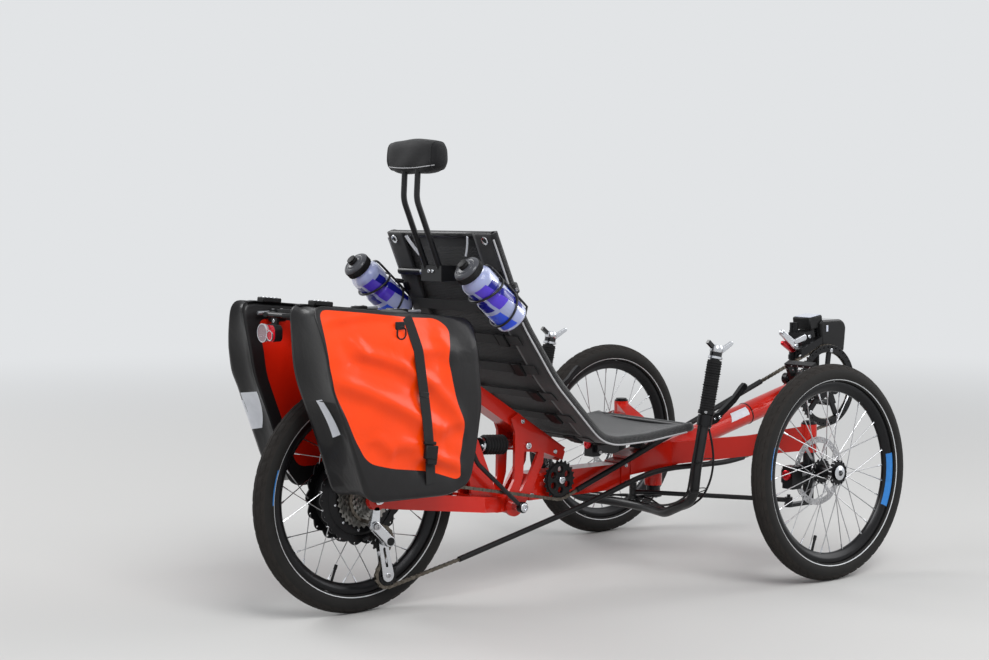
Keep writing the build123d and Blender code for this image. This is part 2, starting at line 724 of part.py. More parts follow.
def chainring():
    """Toothed ring on a five-armed spider with a guard outside; the teeth stay clear of the chain's plates."""
    thick = RING_T / 2
    ring = toothed(RING_R - 3.5, TOOTH_H, RING_TEETH) - Circle(RING_R - 17)
    arm = outline(((18, -12), (60, -7), (RING_R - 12, -8), (RING_R - 12, 8), (60, 7), (18, 12)))
    arms = [Rot(Z=72 * k + 10) * arm for k in range(5)]
    centre = Circle(26) - Circle(SPINDLE_R - 1)
    spider = slab(Pos(*BB) * (ring + arms + centre - Circle(SPINDLE_R + SEAT_GAP)), CHAIN_Y - thick, CHAIN_Y + thick)
    guard = Circle(RING_R + 4) - Circle(RING_R - 14)
    plate = slab(Pos(*BB) * guard, CHAIN_Y - 8, CHAIN_Y - 5.5)
    body = spider + plate
    for k in range(5):
        angle = radians(72 * k + 10)
        x, z = BB[0] + 91 * cos(angle), BB[1] + 91 * sin(angle)
        body = body + cross_rod(x, z, CHAIN_Y - 6, CHAIN_Y, 3.5)
    return body


def cranks():
    reach = CRANK_Y + CRANK_T / 2
    body = cross_rod(*BB, -reach, reach, SPINDLE_R)
    for side, _ in SIDES:
        angle = radians(CRANK_ANGLE if side == RIGHT else CRANK_ANGLE + 180)
        end = (BB[0] + CRANK * cos(angle), BB[1] + CRANK * sin(angle))
        lift = (-sin(angle), cos(angle))
        edge = [(point[0] + turn * half * lift[0], point[1] + turn * half * lift[1])
                for turn, ends in ((1, ((BB, 15), (end, 10))), (-1, ((end, 10), (BB, 15))))
                for point, half in ends]
        arm = outline(edge) + disc(*BB, 19) + disc(*end, 14)
        inner = side * (CRANK_Y - CRANK_T / 2)
        outer = side * (CRANK_Y + CRANK_T / 2)
        body = body + slab(arm, inner, outer)
        body = body + cross_rod(*end, outer, side * (CRANK_Y + CRANK_T / 2 + 12 + PEDAL_W), PEDAL_AXLE_R)
    return body


def pedal(side):
    angle = radians(CRANK_ANGLE if side == RIGHT else CRANK_ANGLE + 180)
    end = (BB[0] + CRANK * cos(angle), BB[1] + CRANK * sin(angle))
    inner = CRANK_Y + CRANK_T / 2 + 8
    cage = Rectangle(PEDAL_L, PEDAL_W) - Rectangle(PEDAL_L - 16, PEDAL_W - 20) + Rectangle(26, PEDAL_W)
    plate = extrude(cage, amount=PEDAL_T / 2, both=True)
    plate = plate - cylinder_y(PEDAL_AXLE_R + RUN_GAP, PEDAL_W + 10)
    place = Pos(end[0], side * (inner + PEDAL_W / 2), end[1])
    return place * Rot(Y=PEDAL_TILT) * plate


def cylinder_y(radius, length):
    return Rot(X=90) * Cylinder(radius, length)


# Derailleurs

def rear_derailleur():
    plate = bar_2d(PULLEY_UP, PULLEY_LOW, 12) + disc(*PULLEY_UP, 10) + disc(*PULLEY_LOW, 14)
    gap = CHAIN_W / 2 + 1.5
    cage_out = slab(plate, CHAIN_Y - gap - 2, CHAIN_Y - gap)
    cage_in = slab(plate, CHAIN_Y + gap, CHAIN_Y + gap + 2)
    pulleys = [cross_rod(*p, CHAIN_Y - 2.5, CHAIN_Y + 2.5, PULLEY_R) for p in (PULLEY_UP, PULLEY_LOW)]
    pins = [cross_rod(*p, CHAIN_Y - gap - 2, CHAIN_Y + gap + 2, 4) for p in (PULLEY_UP, PULLEY_LOW)]
    knuckle = cross_rod(*PULLEY_UP, -84, CHAIN_Y - gap - 2, 12)
    link = slab(bar_2d(PULLEY_UP, HANGER_PIN, 20), -84, -66)
    hanger = slab(bar_2d(HANGER_PIN, (-2, TYRE_R - 22), 18) + disc(*HANGER_PIN, 11), -80, -68)
    return cage_out + cage_in + pulleys + pins + knuckle + link + hanger


def front_derailleur():
    x = POST_X
    post = upright_rod(x, 0, boom_z(x) + BOOM_R - 4, POST_TOP, 12)
    post = post + upright_rod(x, 0, POST_TOP, POST_TOP + STUB_L, STUB_R)
    post = post - boom_rod(BOOM_R + SEAT_GAP, x - 60, x + 60)
    body = slab(outline(((x - 14, 505), (x + 30, 512), (x + 30, 545), (x - 14, 540))), -40, 6)
    cage = slab(outline(((x - 34, 478), (x + 44, 512), (x + 42, 530), (x - 34, 500))), -58, -38)
    inside = slab(outline(((x - 50, 450), (x + 60, 480), (x + 60, 532), (x - 50, 490))), -56, -40)
    return post + body + cage - inside


# Steering

def steering_bar():
    # x, y, z and bend radius, from the right end to the middle
    corners = (
        (GRIP_TOP[0], GRIP_Y, GRIP_TOP[1], 0), (GRIP_FOOT[0], GRIP_Y, GRIP_FOOT[1], 100),
        (728, 282, 275, 120), (738, 262, 200, 60), (757, 150, 153, 90), (SADDLE_X, 0, BAR_Z, 320),
    )
    points = [corner[:3] for corner in corners]
    bends = [corner[3] for corner in corners[1:]]
    bends = bends + bends[-2::-1]
    route = [(x, -y, z) for x, y, z in points] + points[-2::-1]
    bar = bent_tube(route, bends, BAR_R)
    plate = Pos(0, 0, BAR_Z + 14) * (
        Pos(STEER_X, 0) * Circle(21) + Pos(STEER_X - STEER_ARM, 0) * Circle(13)
        + Pos(STEER_X - STEER_ARM / 2, 0) * Rectangle(STEER_ARM, 26))
    plate = extrude(plate, amount=9)
    saddle = upright_rod(SADDLE_X, 0, BAR_Z, BAR_Z + 14, 10)
    pin = upright_rod(STEER_X, 0, BAR_Z + 23, 231, POST_R / 2)
    collar = upright_rod(STEER_X, 0, BAR_Z + 23, BAR_Z + 42 - TURN_GAP, POST_R)
    eye_pin = upright_rod(STEER_X - STEER_ARM, 0, BAR_Z + 23, BAR_Z + 23 + 2 * EYE_H + 6, EYE_PIN_R)
    return bar + plate + saddle + pin + collar + eye_pin


def tie_rod(side):
    level = BAR_Z + 23 + 1 + (0.5 if side == RIGHT else 1.5) * EYE_H + (0 if side == RIGHT else 1)
    inner = (STEER_X - STEER_ARM, 0, level)
    outer = (WHEELBASE - STEER_ARM, side * KINGPIN_Y, ROD_Z)
    bar = rod(inner, outer, ROD_R)
    for x, y, z in (inner, outer):
        bar = bar + upright_rod(x, y, z - EYE_H / 2, z + EYE_H / 2, EYE_R)
    for x, y, z in (inner, outer):
        bar = bar - upright_rod(x, y, z - EYE_H, z + EYE_H, EYE_PIN_R + EYE_GAP)
    return bar


def knuckle(side):
    x, y = WHEELBASE, side * KINGPIN_Y
    low = ROD_Z - EYE_H / 2 - 9
    post = upright_rod(x, y, low, HEAD_LOW - TURN_GAP, 13)
    pin = upright_rod(x, y, HEAD_LOW - TURN_GAP, HEAD_HIGH + TURN_GAP + 4, KINGPIN_R)
    nut = upright_rod(x, y, HEAD_HIGH + TURN_GAP, HEAD_HIGH + TURN_GAP + 7, 14)
    centre = on_front_axle(Location((0, 0, 0)), side).position
    axis = Vector(0, cos(radians(CAMBER)), side * sin(radians(CAMBER))) * side
    outer_end = centre + axis * (HUB_HALF + 2)
    inner_end = centre - axis * (TRACK / 2 - KINGPIN_Y)
    axle = rod(tuple(inner_end), tuple(outer_end), AXLE_R)
    shoulder_end = centre - axis * (ROTOR_Y + ROTOR_T / 2 + TURN_GAP)
    shoulder = rod(tuple(inner_end), tuple(shoulder_end), AXLE_R + 4)
    arm = extrude(Pos(0, 0, low) * (
        Pos(x, y) * Circle(13) + Pos(x - STEER_ARM, y) * Circle(10)
        + Pos(x - STEER_ARM / 2, y) * Rectangle(STEER_ARM, 18)), amount=8)
    ball = upright_rod(x - STEER_ARM, y, low, ROD_Z + EYE_H / 2 + 6, EYE_PIN_R)
    lug = slab(outline(((x - 86, 226), (x, 214), (x, 270), (x - 86, 254))),
               side * (KINGPIN_Y - LUG_T / 2), side * (KINGPIN_Y + LUG_T / 2))
    return post + pin + nut + axle + shoulder + arm + ball + lug


def caliper(side):
    """Brake caliper that straddles the leaning disc behind the axle."""
    x, z = WHEELBASE - ROTOR_R + 2, 240.0
    inner = KINGPIN_Y + LUG_T / 2 + SEAT_GAP
    outer = TRACK / 2 - ROTOR_Y + 4 * PAD_GAP
    profile = outline(((x - 17, z - 26), (x + 10, z - 26), (x + 17, z - 18), (x + 17, z + 18), (x + 10, z + 26),
                       (x - 17, z + 26)))
    slot = Pos(0, -side * ROTOR_Y, 0) * cylinder_y(ROTOR_R + 7, 2 * PAD_GAP)
    beyond = PAD_GAP + PAD_WALL + 20
    trim = Pos(0, side * (beyond - ROTOR_Y), 0) * cylinder_y(2 * ROTOR_R, 40)
    return slab(profile, side * inner, side * outer) - on_front_axle(slot, side) - on_front_axle(trim, side)


def on_grip(z, side):
    """A point on the axis of the bar's straight end part."""
    share = (z - GRIP_FOOT[1]) / (GRIP_TOP[1] - GRIP_FOOT[1])
    x = GRIP_FOOT[0] + share * (GRIP_TOP[0] - GRIP_FOOT[0])
    return (x, side * GRIP_Y, z)


def grip_sleeve(side, low, high, radius):
    """A sleeve round the bar between two heights."""
    outer = rod(on_grip(low, side), on_grip(high, side), radius)
    return outer - rod(on_grip(low - 9, side), on_grip(high + 9, side), BAR_R + SEAT_GAP)


def grips():
    return Compound(children=[grip_sleeve(side, 398, 516, GRIP_R) for side, _ in SIDES])


def brake_levers():
    pieces = []
    for side, _ in SIDES:
        clamp = grip_sleeve(side, 370, 394, 17)
        y = side * GRIP_Y
        pieces.append(clamp + slab(outline(LEVER_BODY), y - 8, y + 8) + slab(outline(LEVER_BLADE), y - 5, y + 5))
    return Compound(children=pieces)


def cable(points, radius):
    """A cable of straight runs joined by arcs as large as the runs allow."""
    corners = [Vector(*point) for point in points]
    bends = []
    for before, corner, after in zip(corners, corners[1:], corners[2:]):
        turn = radians((corner - before).get_angle(after - corner))
        shorter = min((corner - before).length, (after - corner).length)
        bends.append(0.45 * shorter / tan(turn / 2))
    return bent_tube(points, bends, radius)


def bar_cables():
    """A brake hose in front of the bar and a shift cable behind it, on each side."""
    routes = [[(x, side * y, z) for x, y, z in route] for side, _ in SIDES for route in (BRAKE_ROUTE, SHIFT_ROUTE)]
    return Compound(children=[cable(route, CABLE_R) for route in routes])


def shifters():
    """Bar-end shifters."""
    pieces = []
    for side, _ in SIDES:
        base = GRIP_TOP[1] + SEAT_GAP + 0.3
        barrel = rod(on_grip(base, side), on_grip(base + 22, side), 14)
        y = side * GRIP_Y
        lever = slab(bar_2d((781, 536), (752, 560), 9), y - 4, y + 4)
        pieces.append(barrel + lever)
    return Compound(children=pieces)


# Seat

def seat_cross_tubes(radius):
    """Tubes across the frame: front edge, top edge and headrest tube."""
    front, top = SEAT_LINE[0], SEAT_LINE[-1]
    places = (
        (front[0] - 2, front[1] - 0.2, SEAT_BASE_HALF),
        (top[0] + 2, top[1] - 5, SEAT_HALF),
        (*HEAD_TUBE, SEAT_HALF - 2),
    )
    return [cross_rod(x, z, -half, half, radius) for x, z, half in places]


def seat_rails(radius):
    """The two bent side tubes; the back is wider than the base."""
    bends = [bend for _, _, bend in SEAT_LINE[1:-1]]
    rails = []
    for side, _ in SIDES:
        points = [(x, side * half, z) for (x, z, _), half in zip(SEAT_LINE, SEAT_HALVES)]
        rails.append(bent_tube(points, bends, radius))
    return rails


def seat_frame():
    rails = seat_rails(SEAT_TUBE_R)
    return rails[0] + rails[1] + seat_cross_tubes(SEAT_TUBE_R)


def seat_sling():
    """The stretched mesh fills the frame from tube to tube."""
    points = [(x, 0, z) for x, z, _ in SEAT_LINE]
    path = FilletPolyline(*points, radius=[bend for _, _, bend in SEAT_LINE[1:-1]])
    profile = Plane(origin=path @ 0, x_dir=(0, 1, 0), z_dir=path % 0) * Rectangle(2 * SEAT_HALF, SLING_T)
    grown = SEAT_TUBE_R + SEAT_GAP
    sheet = sweep(profile, path=path)
    edge = [(x, half) for (x, _, _), half in zip(SEAT_LINE, SEAT_HALVES)]
    edge = [(edge[0][0] + 10, edge[0][1])] + edge + [(edge[-1][0] - 20, edge[-1][1])]
    plan = outline(edge + [(x, -half) for x, half in edge[::-1]])
    sheet = sheet & extrude(plan, amount=900)
    for tube in seat_rails(grown) + seat_cross_tubes(grown):
        sheet = max((sheet - tube).solids(), key=lambda piece: piece.volume)
    return sheet


def headrest_post(side, radius):
    points = [(x, side * POST_GAP / 2, z) for x, z in HEAD_POST]
    return bent_tube(points, [60], radius)


def headrest_posts():
    """Two bent posts in a clamp on the seat's cross tube."""
    front = HEAD_TUBE[0] - SEAT_TUBE_R - SEAT_GAP
    back = HEAD_POST[0][0] - HEAD_POST_R - 4
    clamp = Pos((front + back) / 2, 0, HEAD_TUBE[1]) * Box(front - back, POST_GAP + 26, 34)
    return headrest_post(RIGHT, HEAD_POST_R) + headrest_post(LEFT, HEAD_POST_R) + clamp


def headrest_pad():
    pad = Box(*PAD_SIZE)
    pad = Pos(*PAD_AT) * fillet(pad.edges(), 26)
    for side, _ in SIDES:
        pad = pad - headrest_post(side, HEAD_POST_R + SEAT_GAP)
    return pad


# Rack, bags and bottles

def rack():
    x0, x1 = RACK_X
    body = None
    for side, _ in SIDES:
        y = side * RACK_HALF
        top = bent_tube([(x0, y * 0.6, RACK_Z), (x0 + 30, y, RACK_Z), (x1, y, RACK_Z - 10), (250, y, 560)],
                        [25, 60], RACK_TUBE_R)
        strut_foot = (PIVOT[0] - 1, side * STRUT_Y, PIVOT[1] + 1)
        stay = rod((-110, y, RACK_Z), (-14, side * 72, TYRE_R + 24), RACK_TUBE_R)
        strut = bent_tube([(120, y, RACK_Z - 8), (278, side * STRUT_Y, 300), strut_foot], [40],
                          RACK_TUBE_R)
        piece = top + stay + strut
        body = piece if body is None else body + piece
    for x in (x0 + 8, -110, 20, 120):
        half = RACK_HALF * (0.7 if x == x0 + 8 else 1.0)
        body = body + cross_rod(x, RACK_Z - (3 if x > 0 else 0), -half, half, RACK_TUBE_R)
    return body


def pannier(side):
    centre_x = sum(x for x, _ in BAG_LINE) / len(BAG_LINE)
    centre_z = sum(z for _, z in BAG_LINE) / len(BAG_LINE)
    # distance from the middle plane, size of the outline
    inner_y, outer_y = BAG_Y[side]
    sections = ((inner_y, 0.93), (inner_y + 30, 1.0), (outer_y - 20, 1.0), (outer_y, 0.93))
    faces = []
    for y, size in sections:
        points = [(centre_x + (x - centre_x) * size, centre_z + (z - centre_z) * size) for x, z in BAG_LINE]
        plane = Plane(origin=(0, side * y, 0), x_dir=(1, 0, 0), z_dir=(0, -1, 0))
        faces.append(plane * outline(points))
    bag = loft(faces, ruled=True)
    hook_y = RACK_HALF + RACK_TUBE_R + SEAT_GAP
    for x in HOOK_X:
        reach = inner_y + 6 - hook_y
        hook = Pos(x, side * (hook_y + reach / 2), RACK_Z - 6) * Box(36, reach, 24)
        bag = bag + hook
    return bag


def bottle_plane(side):
    low = Vector(BOTTLE_LOW[0], side * BOTTLE_LOW[1], BOTTLE_LOW[2])
    top = Vector(BOTTLE_TOP[0], side * BOTTLE_TOP[1], BOTTLE_TOP[2])
    return Plane(origin=low, x_dir=(0, 1, 0), z_dir=top - low)


def turned_z(points):
    return revolve(Plane.XZ * outline(points), axis=Axis.Z)


def bottles():
    body = turned_z((
        (0, 0), (BOTTLE_R - 4, 0), (BOTTLE_R, 5), (BOTTLE_R, 78), (BOTTLE_R - 4, 86), (BOTTLE_R - 4, 98),
        (BOTTLE_R, 106), (BOTTLE_R, 132), (BOTTLE_R - 10, BOTTLE_L), (0, BOTTLE_L),
    ))
    return Compound(children=[bottle_plane(side) * body for side, _ in SIDES])


def bottle_caps():
    base = BOTTLE_L + SEAT_GAP
    cap = turned_z((
        (0, base), (31, base), (31, base + 16), (26, base + 22), (13, base + 24), (11, base + BOTTLE_CAP_L),
        (0, base + BOTTLE_CAP_L),
    ))
    return Compound(children=[bottle_plane(side) * cap for side, _ in SIDES])


def bottle_cages():
    pieces = []
    for side, _ in SIDES:
        hoop = Circle(BOTTLE_R + 5) - Circle(BOTTLE_R + SEAT_GAP)
        cage = extrude(Pos(0, 0, 30) * hoop, amount=5) + extrude(Pos(0, 0, 95) * hoop, amount=5)
        bar = extrude(Pos(0, -BOTTLE_R - 3) * Rectangle(16, 5), amount=110)
        cage = bottle_plane(side) * (cage + bar)
        hold = bottle_plane(side).from_local_coords(Vector(0, -BOTTLE_R - 7, 60))
        rail = seat_rails(SEAT_TUBE_R + SEAT_GAP)[0 if side == RIGHT else 1]
        clamp = rod(tuple(hold), (272, side * SEAT_HALF, 690), 5) - rail
        near = min(clamp.solids(), key=lambda piece: (piece.center() - hold).length)
        pieces.append(cage + near)
    return Compound(children=pieces)


# Lamps

def tail_lamp():
    """A shallow housing with two round lenses that face back, hung from the rack."""
    x_face, x_back = LAMP_X
    body = Pos((x_face + x_back) / 2, 0, LAMP_Z) * Box(x_back - x_face, 60, 34)
    body = fillet(body.edges().filter_by(Axis.X), 12)
    arm = Pos(-196, 0, RACK_Z - 12.5) * Box(6, 20, 14)
    clear = rod((x_face, 9, LAMP_Z), (x_face - 6, 9, LAMP_Z), 18.5)
    red = rod((x_face, -18, LAMP_Z - 4), (x_face - 5, -18, LAMP_Z - 4), 10)
    return body + arm + clear + red


def head_lamp():
    """A rounded housing with a lens in front, on a post from the boom's end."""
    x0, x1 = HEAD_LAMP_X
    z0, z1 = HEAD_LAMP_Z
    drop = 26.0
    nose = ThreePointArc((x1 - drop, z1), (x1 - 0.3 * drop, z1 - 0.3 * drop), (x1, z1 - drop))
    side = make_face([nose, Line((x1, z1 - drop), (x1 - 6, z0)), Line((x1 - 6, z0), (x0 + 8, z0)),
                      Line((x0 + 8, z0), (x0, z1 - 8)), Line((x0, z1 - 8), (x0 + 10, z1)),
                      Line((x0 + 10, z1), (x1 - drop, z1))])
    shell = slab(side, -38, 38)
    shell = fillet(shell.edges().filter_by(Axis.Y, reverse=True), 7)
    middle = (z0 + z1) / 2 - 8
    lens = rod((x1 - 20, 0, middle), (x1 + 3, 0, middle), 27)
    screen = Pos(x0 + 2, 0, (z0 + z1) / 2 + 6) * Rot(Y=-6) * Box(8, 58, 50)
    post = upright_rod(BB[0] + 14, 0, BB[1] + 18, 500, 11)
    post = post - cross_rod(*BB, -60, 60, BB_SHELL_R + SEAT_GAP)
    return shell + lens + screen + post


def seat_bracket():
    """Holds the seat's front on the beam and its back on the rail."""
    return slab(outline(((800, 286), (840, 292), (834, 340.9), (818, 340.9))), -20, 20)


def build():
    nodes = {
        "main_tube": main_tube(),
        "side_plates": side_plates(),
        "seat_rail": seat_rail(),
        "front_beam": front_beam(),
        "cross_arm_right": cross_arm(RIGHT),
        "cross_arm_left": cross_arm(LEFT),
        "boom": boom(),
        "swing_arm": swing_arm(),
        "pivot_bolts": pivot_bolts(),
        "shock": shock(),
        "rear_axle": rear_axle(),
        "idler": idler(),
        "chain": chain(),
        "chain_tubes": chain_tubes(),
        "rear_derailleur": rear_derailleur(),
        "front_derailleur": front_derailleur(),
        "seat_frame": seat_frame(),
        "seat_sling": seat_sling(),
        "seat_bracket": seat_bracket(),
        "headrest_posts": headrest_posts(),
        "headrest_pad": headrest_pad(),
        "rack": rack(),
        "pannier_right": pannier(RIGHT),
        "pannier_left": pannier(LEFT),
        "bottles": bottles(),
        "bottle_caps": bottle_caps(),
        "bottle_cages": bottle_cages(),
        "tail_lamp": tail_lamp(),
        "head_lamp": head_lamp(),
        "steering_bar": steering_bar(),
        "grips": grips(),
        "brake_levers": brake_levers(),
        "shifters": shifters(),
        "bar_cables": bar_cables(),
        "tie_rod_right": tie_rod(RIGHT),
        "tie_rod_left": tie_rod(LEFT),
        "knuckle_right": knuckle(RIGHT),
        "knuckle_left": knuckle(LEFT),
        "caliper_right": caliper(RIGHT),
        "caliper_left": caliper(LEFT),
        "cranks": cranks(),
        "chainring": chainring(),
        "pedal_right": pedal(RIGHT),
        "pedal_left": pedal(LEFT),
    }
    nodes.update(rear_wheel())
    nodes.update(front_wheels())
    return nodes


def main():
    os.makedirs("parts", exist_ok=True)
    nodes = build()
    boxes = [shape.bounding_box() for shape in nodes.values()]
    x_low = min(box.min.X for box in boxes)
    x_high = max(box.max.X for box in boxes)
    shift = Pos(-(x_low + x_high) / 2, 0, 0)
    print("origin x", round((x_low + x_high) / 2, 3), "length", round(x_high - x_low, 1))
    for name, shape in nodes.items():
        export_step(shift * shape, f"parts/{name}.step")


main()
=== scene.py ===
# %% [markdown]
# # Dressing a recumbent trike
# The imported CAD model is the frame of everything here: its pieces have the true sizes and places, and
# each moving group of them is a body. This lesson gives those pieces their finishes and adds what CAD
# leaves plain: tyre treads, round spokes, chain links, stretched mesh, bags, bottles and bolts.
# All lengths are in metres.

# %% Load the frame
from math import acos, atan2, cos, hypot, pi, radians, sin, sqrt

import bmesh
import bpy
import numpy as np
from mathutils import Matrix, Vector
from mathutils.bvhtree import BVHTree


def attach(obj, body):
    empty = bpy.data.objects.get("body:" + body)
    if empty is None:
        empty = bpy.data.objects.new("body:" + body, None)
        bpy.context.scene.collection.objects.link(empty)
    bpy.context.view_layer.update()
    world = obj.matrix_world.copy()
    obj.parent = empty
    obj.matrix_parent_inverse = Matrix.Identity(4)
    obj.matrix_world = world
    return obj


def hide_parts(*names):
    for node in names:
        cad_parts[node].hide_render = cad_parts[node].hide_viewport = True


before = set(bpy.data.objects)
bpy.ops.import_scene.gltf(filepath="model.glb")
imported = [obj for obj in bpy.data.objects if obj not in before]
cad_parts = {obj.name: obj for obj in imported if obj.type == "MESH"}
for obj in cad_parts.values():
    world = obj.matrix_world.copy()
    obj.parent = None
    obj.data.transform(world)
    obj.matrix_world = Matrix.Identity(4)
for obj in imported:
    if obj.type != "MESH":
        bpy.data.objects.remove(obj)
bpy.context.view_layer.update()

# %% [markdown]
# Places are easier to read when they are counted forward from the rear axle, as a trike builder does.
# The row frame has its origin at the middle of the trike, so one constant shifts between the two.

# %% Places
REAR = 0.68293


def spot(x, y, z):
    """A place measured forward from the rear axle's ground point."""
    return Vector((x - REAR, y, z))


RIGHT, LEFT = -1, 1
SIDES = ((RIGHT, "right"), (LEFT, "left"))
print("rear axle at", tuple(spot(0, 0, 0.25)))

# %% [markdown]
# The camera stands behind the trike on its right, a little lower than the headrest, and looks level and
# slightly down. Its place and lens came from fitting the three wheels' ellipses in the photograph, so
# the pieces are judged at the true angle.

# %% Camera
def in_scene(name, data):
    """A new object in the scene."""
    obj = bpy.data.objects.new(name, data)
    bpy.context.scene.collection.objects.link(obj)
    return obj


camera_data = bpy.data.cameras.new("camera")
camera_data.sensor_width = 36.0
camera_data.lens = 65.29
camera = in_scene("camera", camera_data)
look = Vector((0.6167, 0.7843, -0.067)).normalized()
camera.location = spot(-2.0991, -3.143, 0.8544)
camera.rotation_euler = look.to_track_quat("-Z", "Y").to_euler()
bpy.context.scene.camera = camera
print("camera at", tuple(round(c, 3) for c in camera.location))

# %% [markdown]
# A photographer would stand the trike in a plain studio: a pale floor that runs into a pale wall, and
# large soft lamps. The floor is far larger than the view and fades to the wall's colour far away, and
# the world has the wall's colour for the camera and for reflections, while it lights the trike at its
# own gentler level.

# %% Colours and nodes
bpy.context.scene.view_settings.view_transform = "Standard"


def srgb(red, green, blue):
    """A colour as seen on screen, 0 to 255, as the linear values that a shader takes."""
    out = []
    for value in (red, green, blue):
        share = value / 255
        out.append(share / 12.92 if share <= 0.04045 else ((share + 0.055) / 1.055) ** 2.4)
    return (*out, 1.0)


def feed(tree, node, name, value):
    """Gives an input of a node a number or a colour, or a link from another node."""
    if isinstance(value, bpy.types.NodeSocket):
        tree.links.new(value, node.inputs[name])
    else:
        node.inputs[name].default_value = value


def add_node(tree, kind, inputs):
    """A new shader node with these inputs fed."""
    node = tree.nodes.new("ShaderNode" + kind)
    for name, value in inputs.items():
        feed(tree, node, name, value)
    return node


WALL = srgb(226, 228, 230)
print("wall colour", [round(channel, 3) for channel in WALL])

# %% World
SKY, SKY_POWER = (0.93, 0.96, 1.0, 1.0), 0.55


def larger(tree, first, second):
    """The larger of two values, so that it says yes when either does."""
    node = add_node(tree, "Math", {0: first, 1: second})
    node.operation = "MAXIMUM"
    return node.outputs[0]


world = bpy.data.worlds.new("studio")
world.use_nodes = True
bpy.context.scene.world = world
tree = world.node_tree
tree.nodes.clear()
ray = add_node(tree, "LightPath", {}).outputs
seen_ray = larger(tree, ray["Is Camera Ray"], ray["Is Transmission Ray"])
seen_ray = larger(tree, seen_ray, ray["Is Glossy Ray"])
lit = add_node(tree, "Background", {"Color": SKY, "Strength": SKY_POWER})
seen = add_node(tree, "Background", {"Color": WALL})
mix = add_node(tree, "MixShader", {"Fac": seen_ray, 1: lit.outputs[0], 2: seen.outputs[0]})
add_node(tree, "OutputWorld", {"Surface": mix.outputs[0]})
print("world", len(tree.nodes), "nodes")

# %% Floor
FLOOR_REACH = 40.0
# Distances at which the floor starts to fade and has the wall's colour
FADE = (1.5, 7.0)
floor_mesh = bpy.data.meshes.new("floor")
corners = [(x * FLOOR_REACH, y * FLOOR_REACH, 0) for x, y in ((-1, -1), (1, -1), (1, 1), (-1, 1))]
floor_mesh.from_pydata(corners, [], [(0, 1, 2, 3)])
floor = in_scene("floor", floor_mesh)
floor_finish = bpy.data.materials.new("pale_floor")
floor_finish.use_nodes = True
tree = floor_finish.node_tree
plain = tree.nodes["Principled BSDF"]
feed(tree, plain, "Base Color", srgb(196, 195, 193))
feed(tree, plain, "Roughness", 0.9)
distance = add_node(tree, "VectorMath", {0: add_node(tree, "NewGeometry", {}).outputs["Position"]})
distance.operation = "LENGTH"
fade_inputs = {"Value": distance.outputs["Value"], "From Min": FADE[0], "From Max": FADE[1]}
fade = add_node(tree, "MapRange", fade_inputs)
fade.interpolation_type = "SMOOTHSTEP"
far = add_node(tree, "Emission", {"Color": WALL})
blend = add_node(tree, "MixShader", {"Fac": fade.outputs["Result"], 1: plain.outputs[0], 2: far.outputs[0]})
feed(tree, tree.nodes["Material Output"], "Surface", blend.outputs[0])
floor_mesh.materials.append(floor_finish)
print("floor", 2 * FLOOR_REACH, "m wide")

# %% Studio lamps
AIM = Vector((0, 0, 0.4))
# Name, place, size in metres and power in watts of each soft lamp
LAMPS = (("key", (-1.6, -4.2, 4.6), 3.0, 250), ("fill", (4.6, -2.6, 3.0), 3.4, 110),
         ("back", (-2.5, 4.5, 4.0), 3.0, 150))
for name, place, size, power in LAMPS:
    data = bpy.data.lights.new(name, "AREA")
    data.size = size
    data.energy = power
    lamp = in_scene(name, data)
    lamp.location = place
    lamp.rotation_euler = (AIM - Vector(place)).to_track_quat("-Z", "Y").to_euler()
print("lamps", len(LAMPS))

# %% [markdown]
# Every finish is made from nodes. The colour drifts a little across a surface, a fine grain catches the
# light, and the roughness changes with handling and dust. Numbers that are the same all over stay on
# the shader's own sockets.

# %% A finish
def finish(name, colour, rough, metal=0.0, coat=0.0, sheen=0.0, drift=0.12, patch=18.0, grain=0.0,
           fine=900.0):
    """A finish: drift of the colour over patches, and grain as fine relief in metres."""
    made = bpy.data.materials.new(name)
    made.use_nodes = True
    tree = made.node_tree
    shader = tree.nodes["Principled BSDF"]
    place = add_node(tree, "TexCoord", {}).outputs["Object"]
    cloud = add_node(tree, "TexNoise", {"Vector": place, "Scale": patch, "Detail": 5.0}).outputs["Fac"]
    ramp = add_node(tree, "ValToRGB", {"Fac": cloud})
    for element, position, change in zip(ramp.color_ramp.elements, (0.3, 0.7), (1 - drift, 1 + drift)):
        element.position = position
        element.color = (*(min(1.0, channel * change) for channel in colour[:3]), 1)
    rough_range = {"Value": cloud, "To Min": rough * 0.8, "To Max": min(1.0, rough * 1.25)}
    worn = add_node(tree, "MapRange", rough_range)
    values = {"Metallic": metal, "Specular IOR Level": 0.5 if metal else 0.22, "Coat Weight": coat,
              "Coat Roughness": 0.08, "Sheen Weight": sheen, "Base Color": ramp.outputs["Color"],
              "Roughness": worn.outputs["Result"]}
    if grain:
        dots = add_node(tree, "TexNoise", {"Vector": place, "Scale": fine, "Detail": 2.0})
        relief = add_node(tree, "Bump", {"Height": dots.outputs["Fac"], "Distance": grain, "Strength": 0.6})
        values["Normal"] = relief.outputs["Normal"]
    for socket, value in values.items():
        feed(tree, shader, socket, value)
    return made


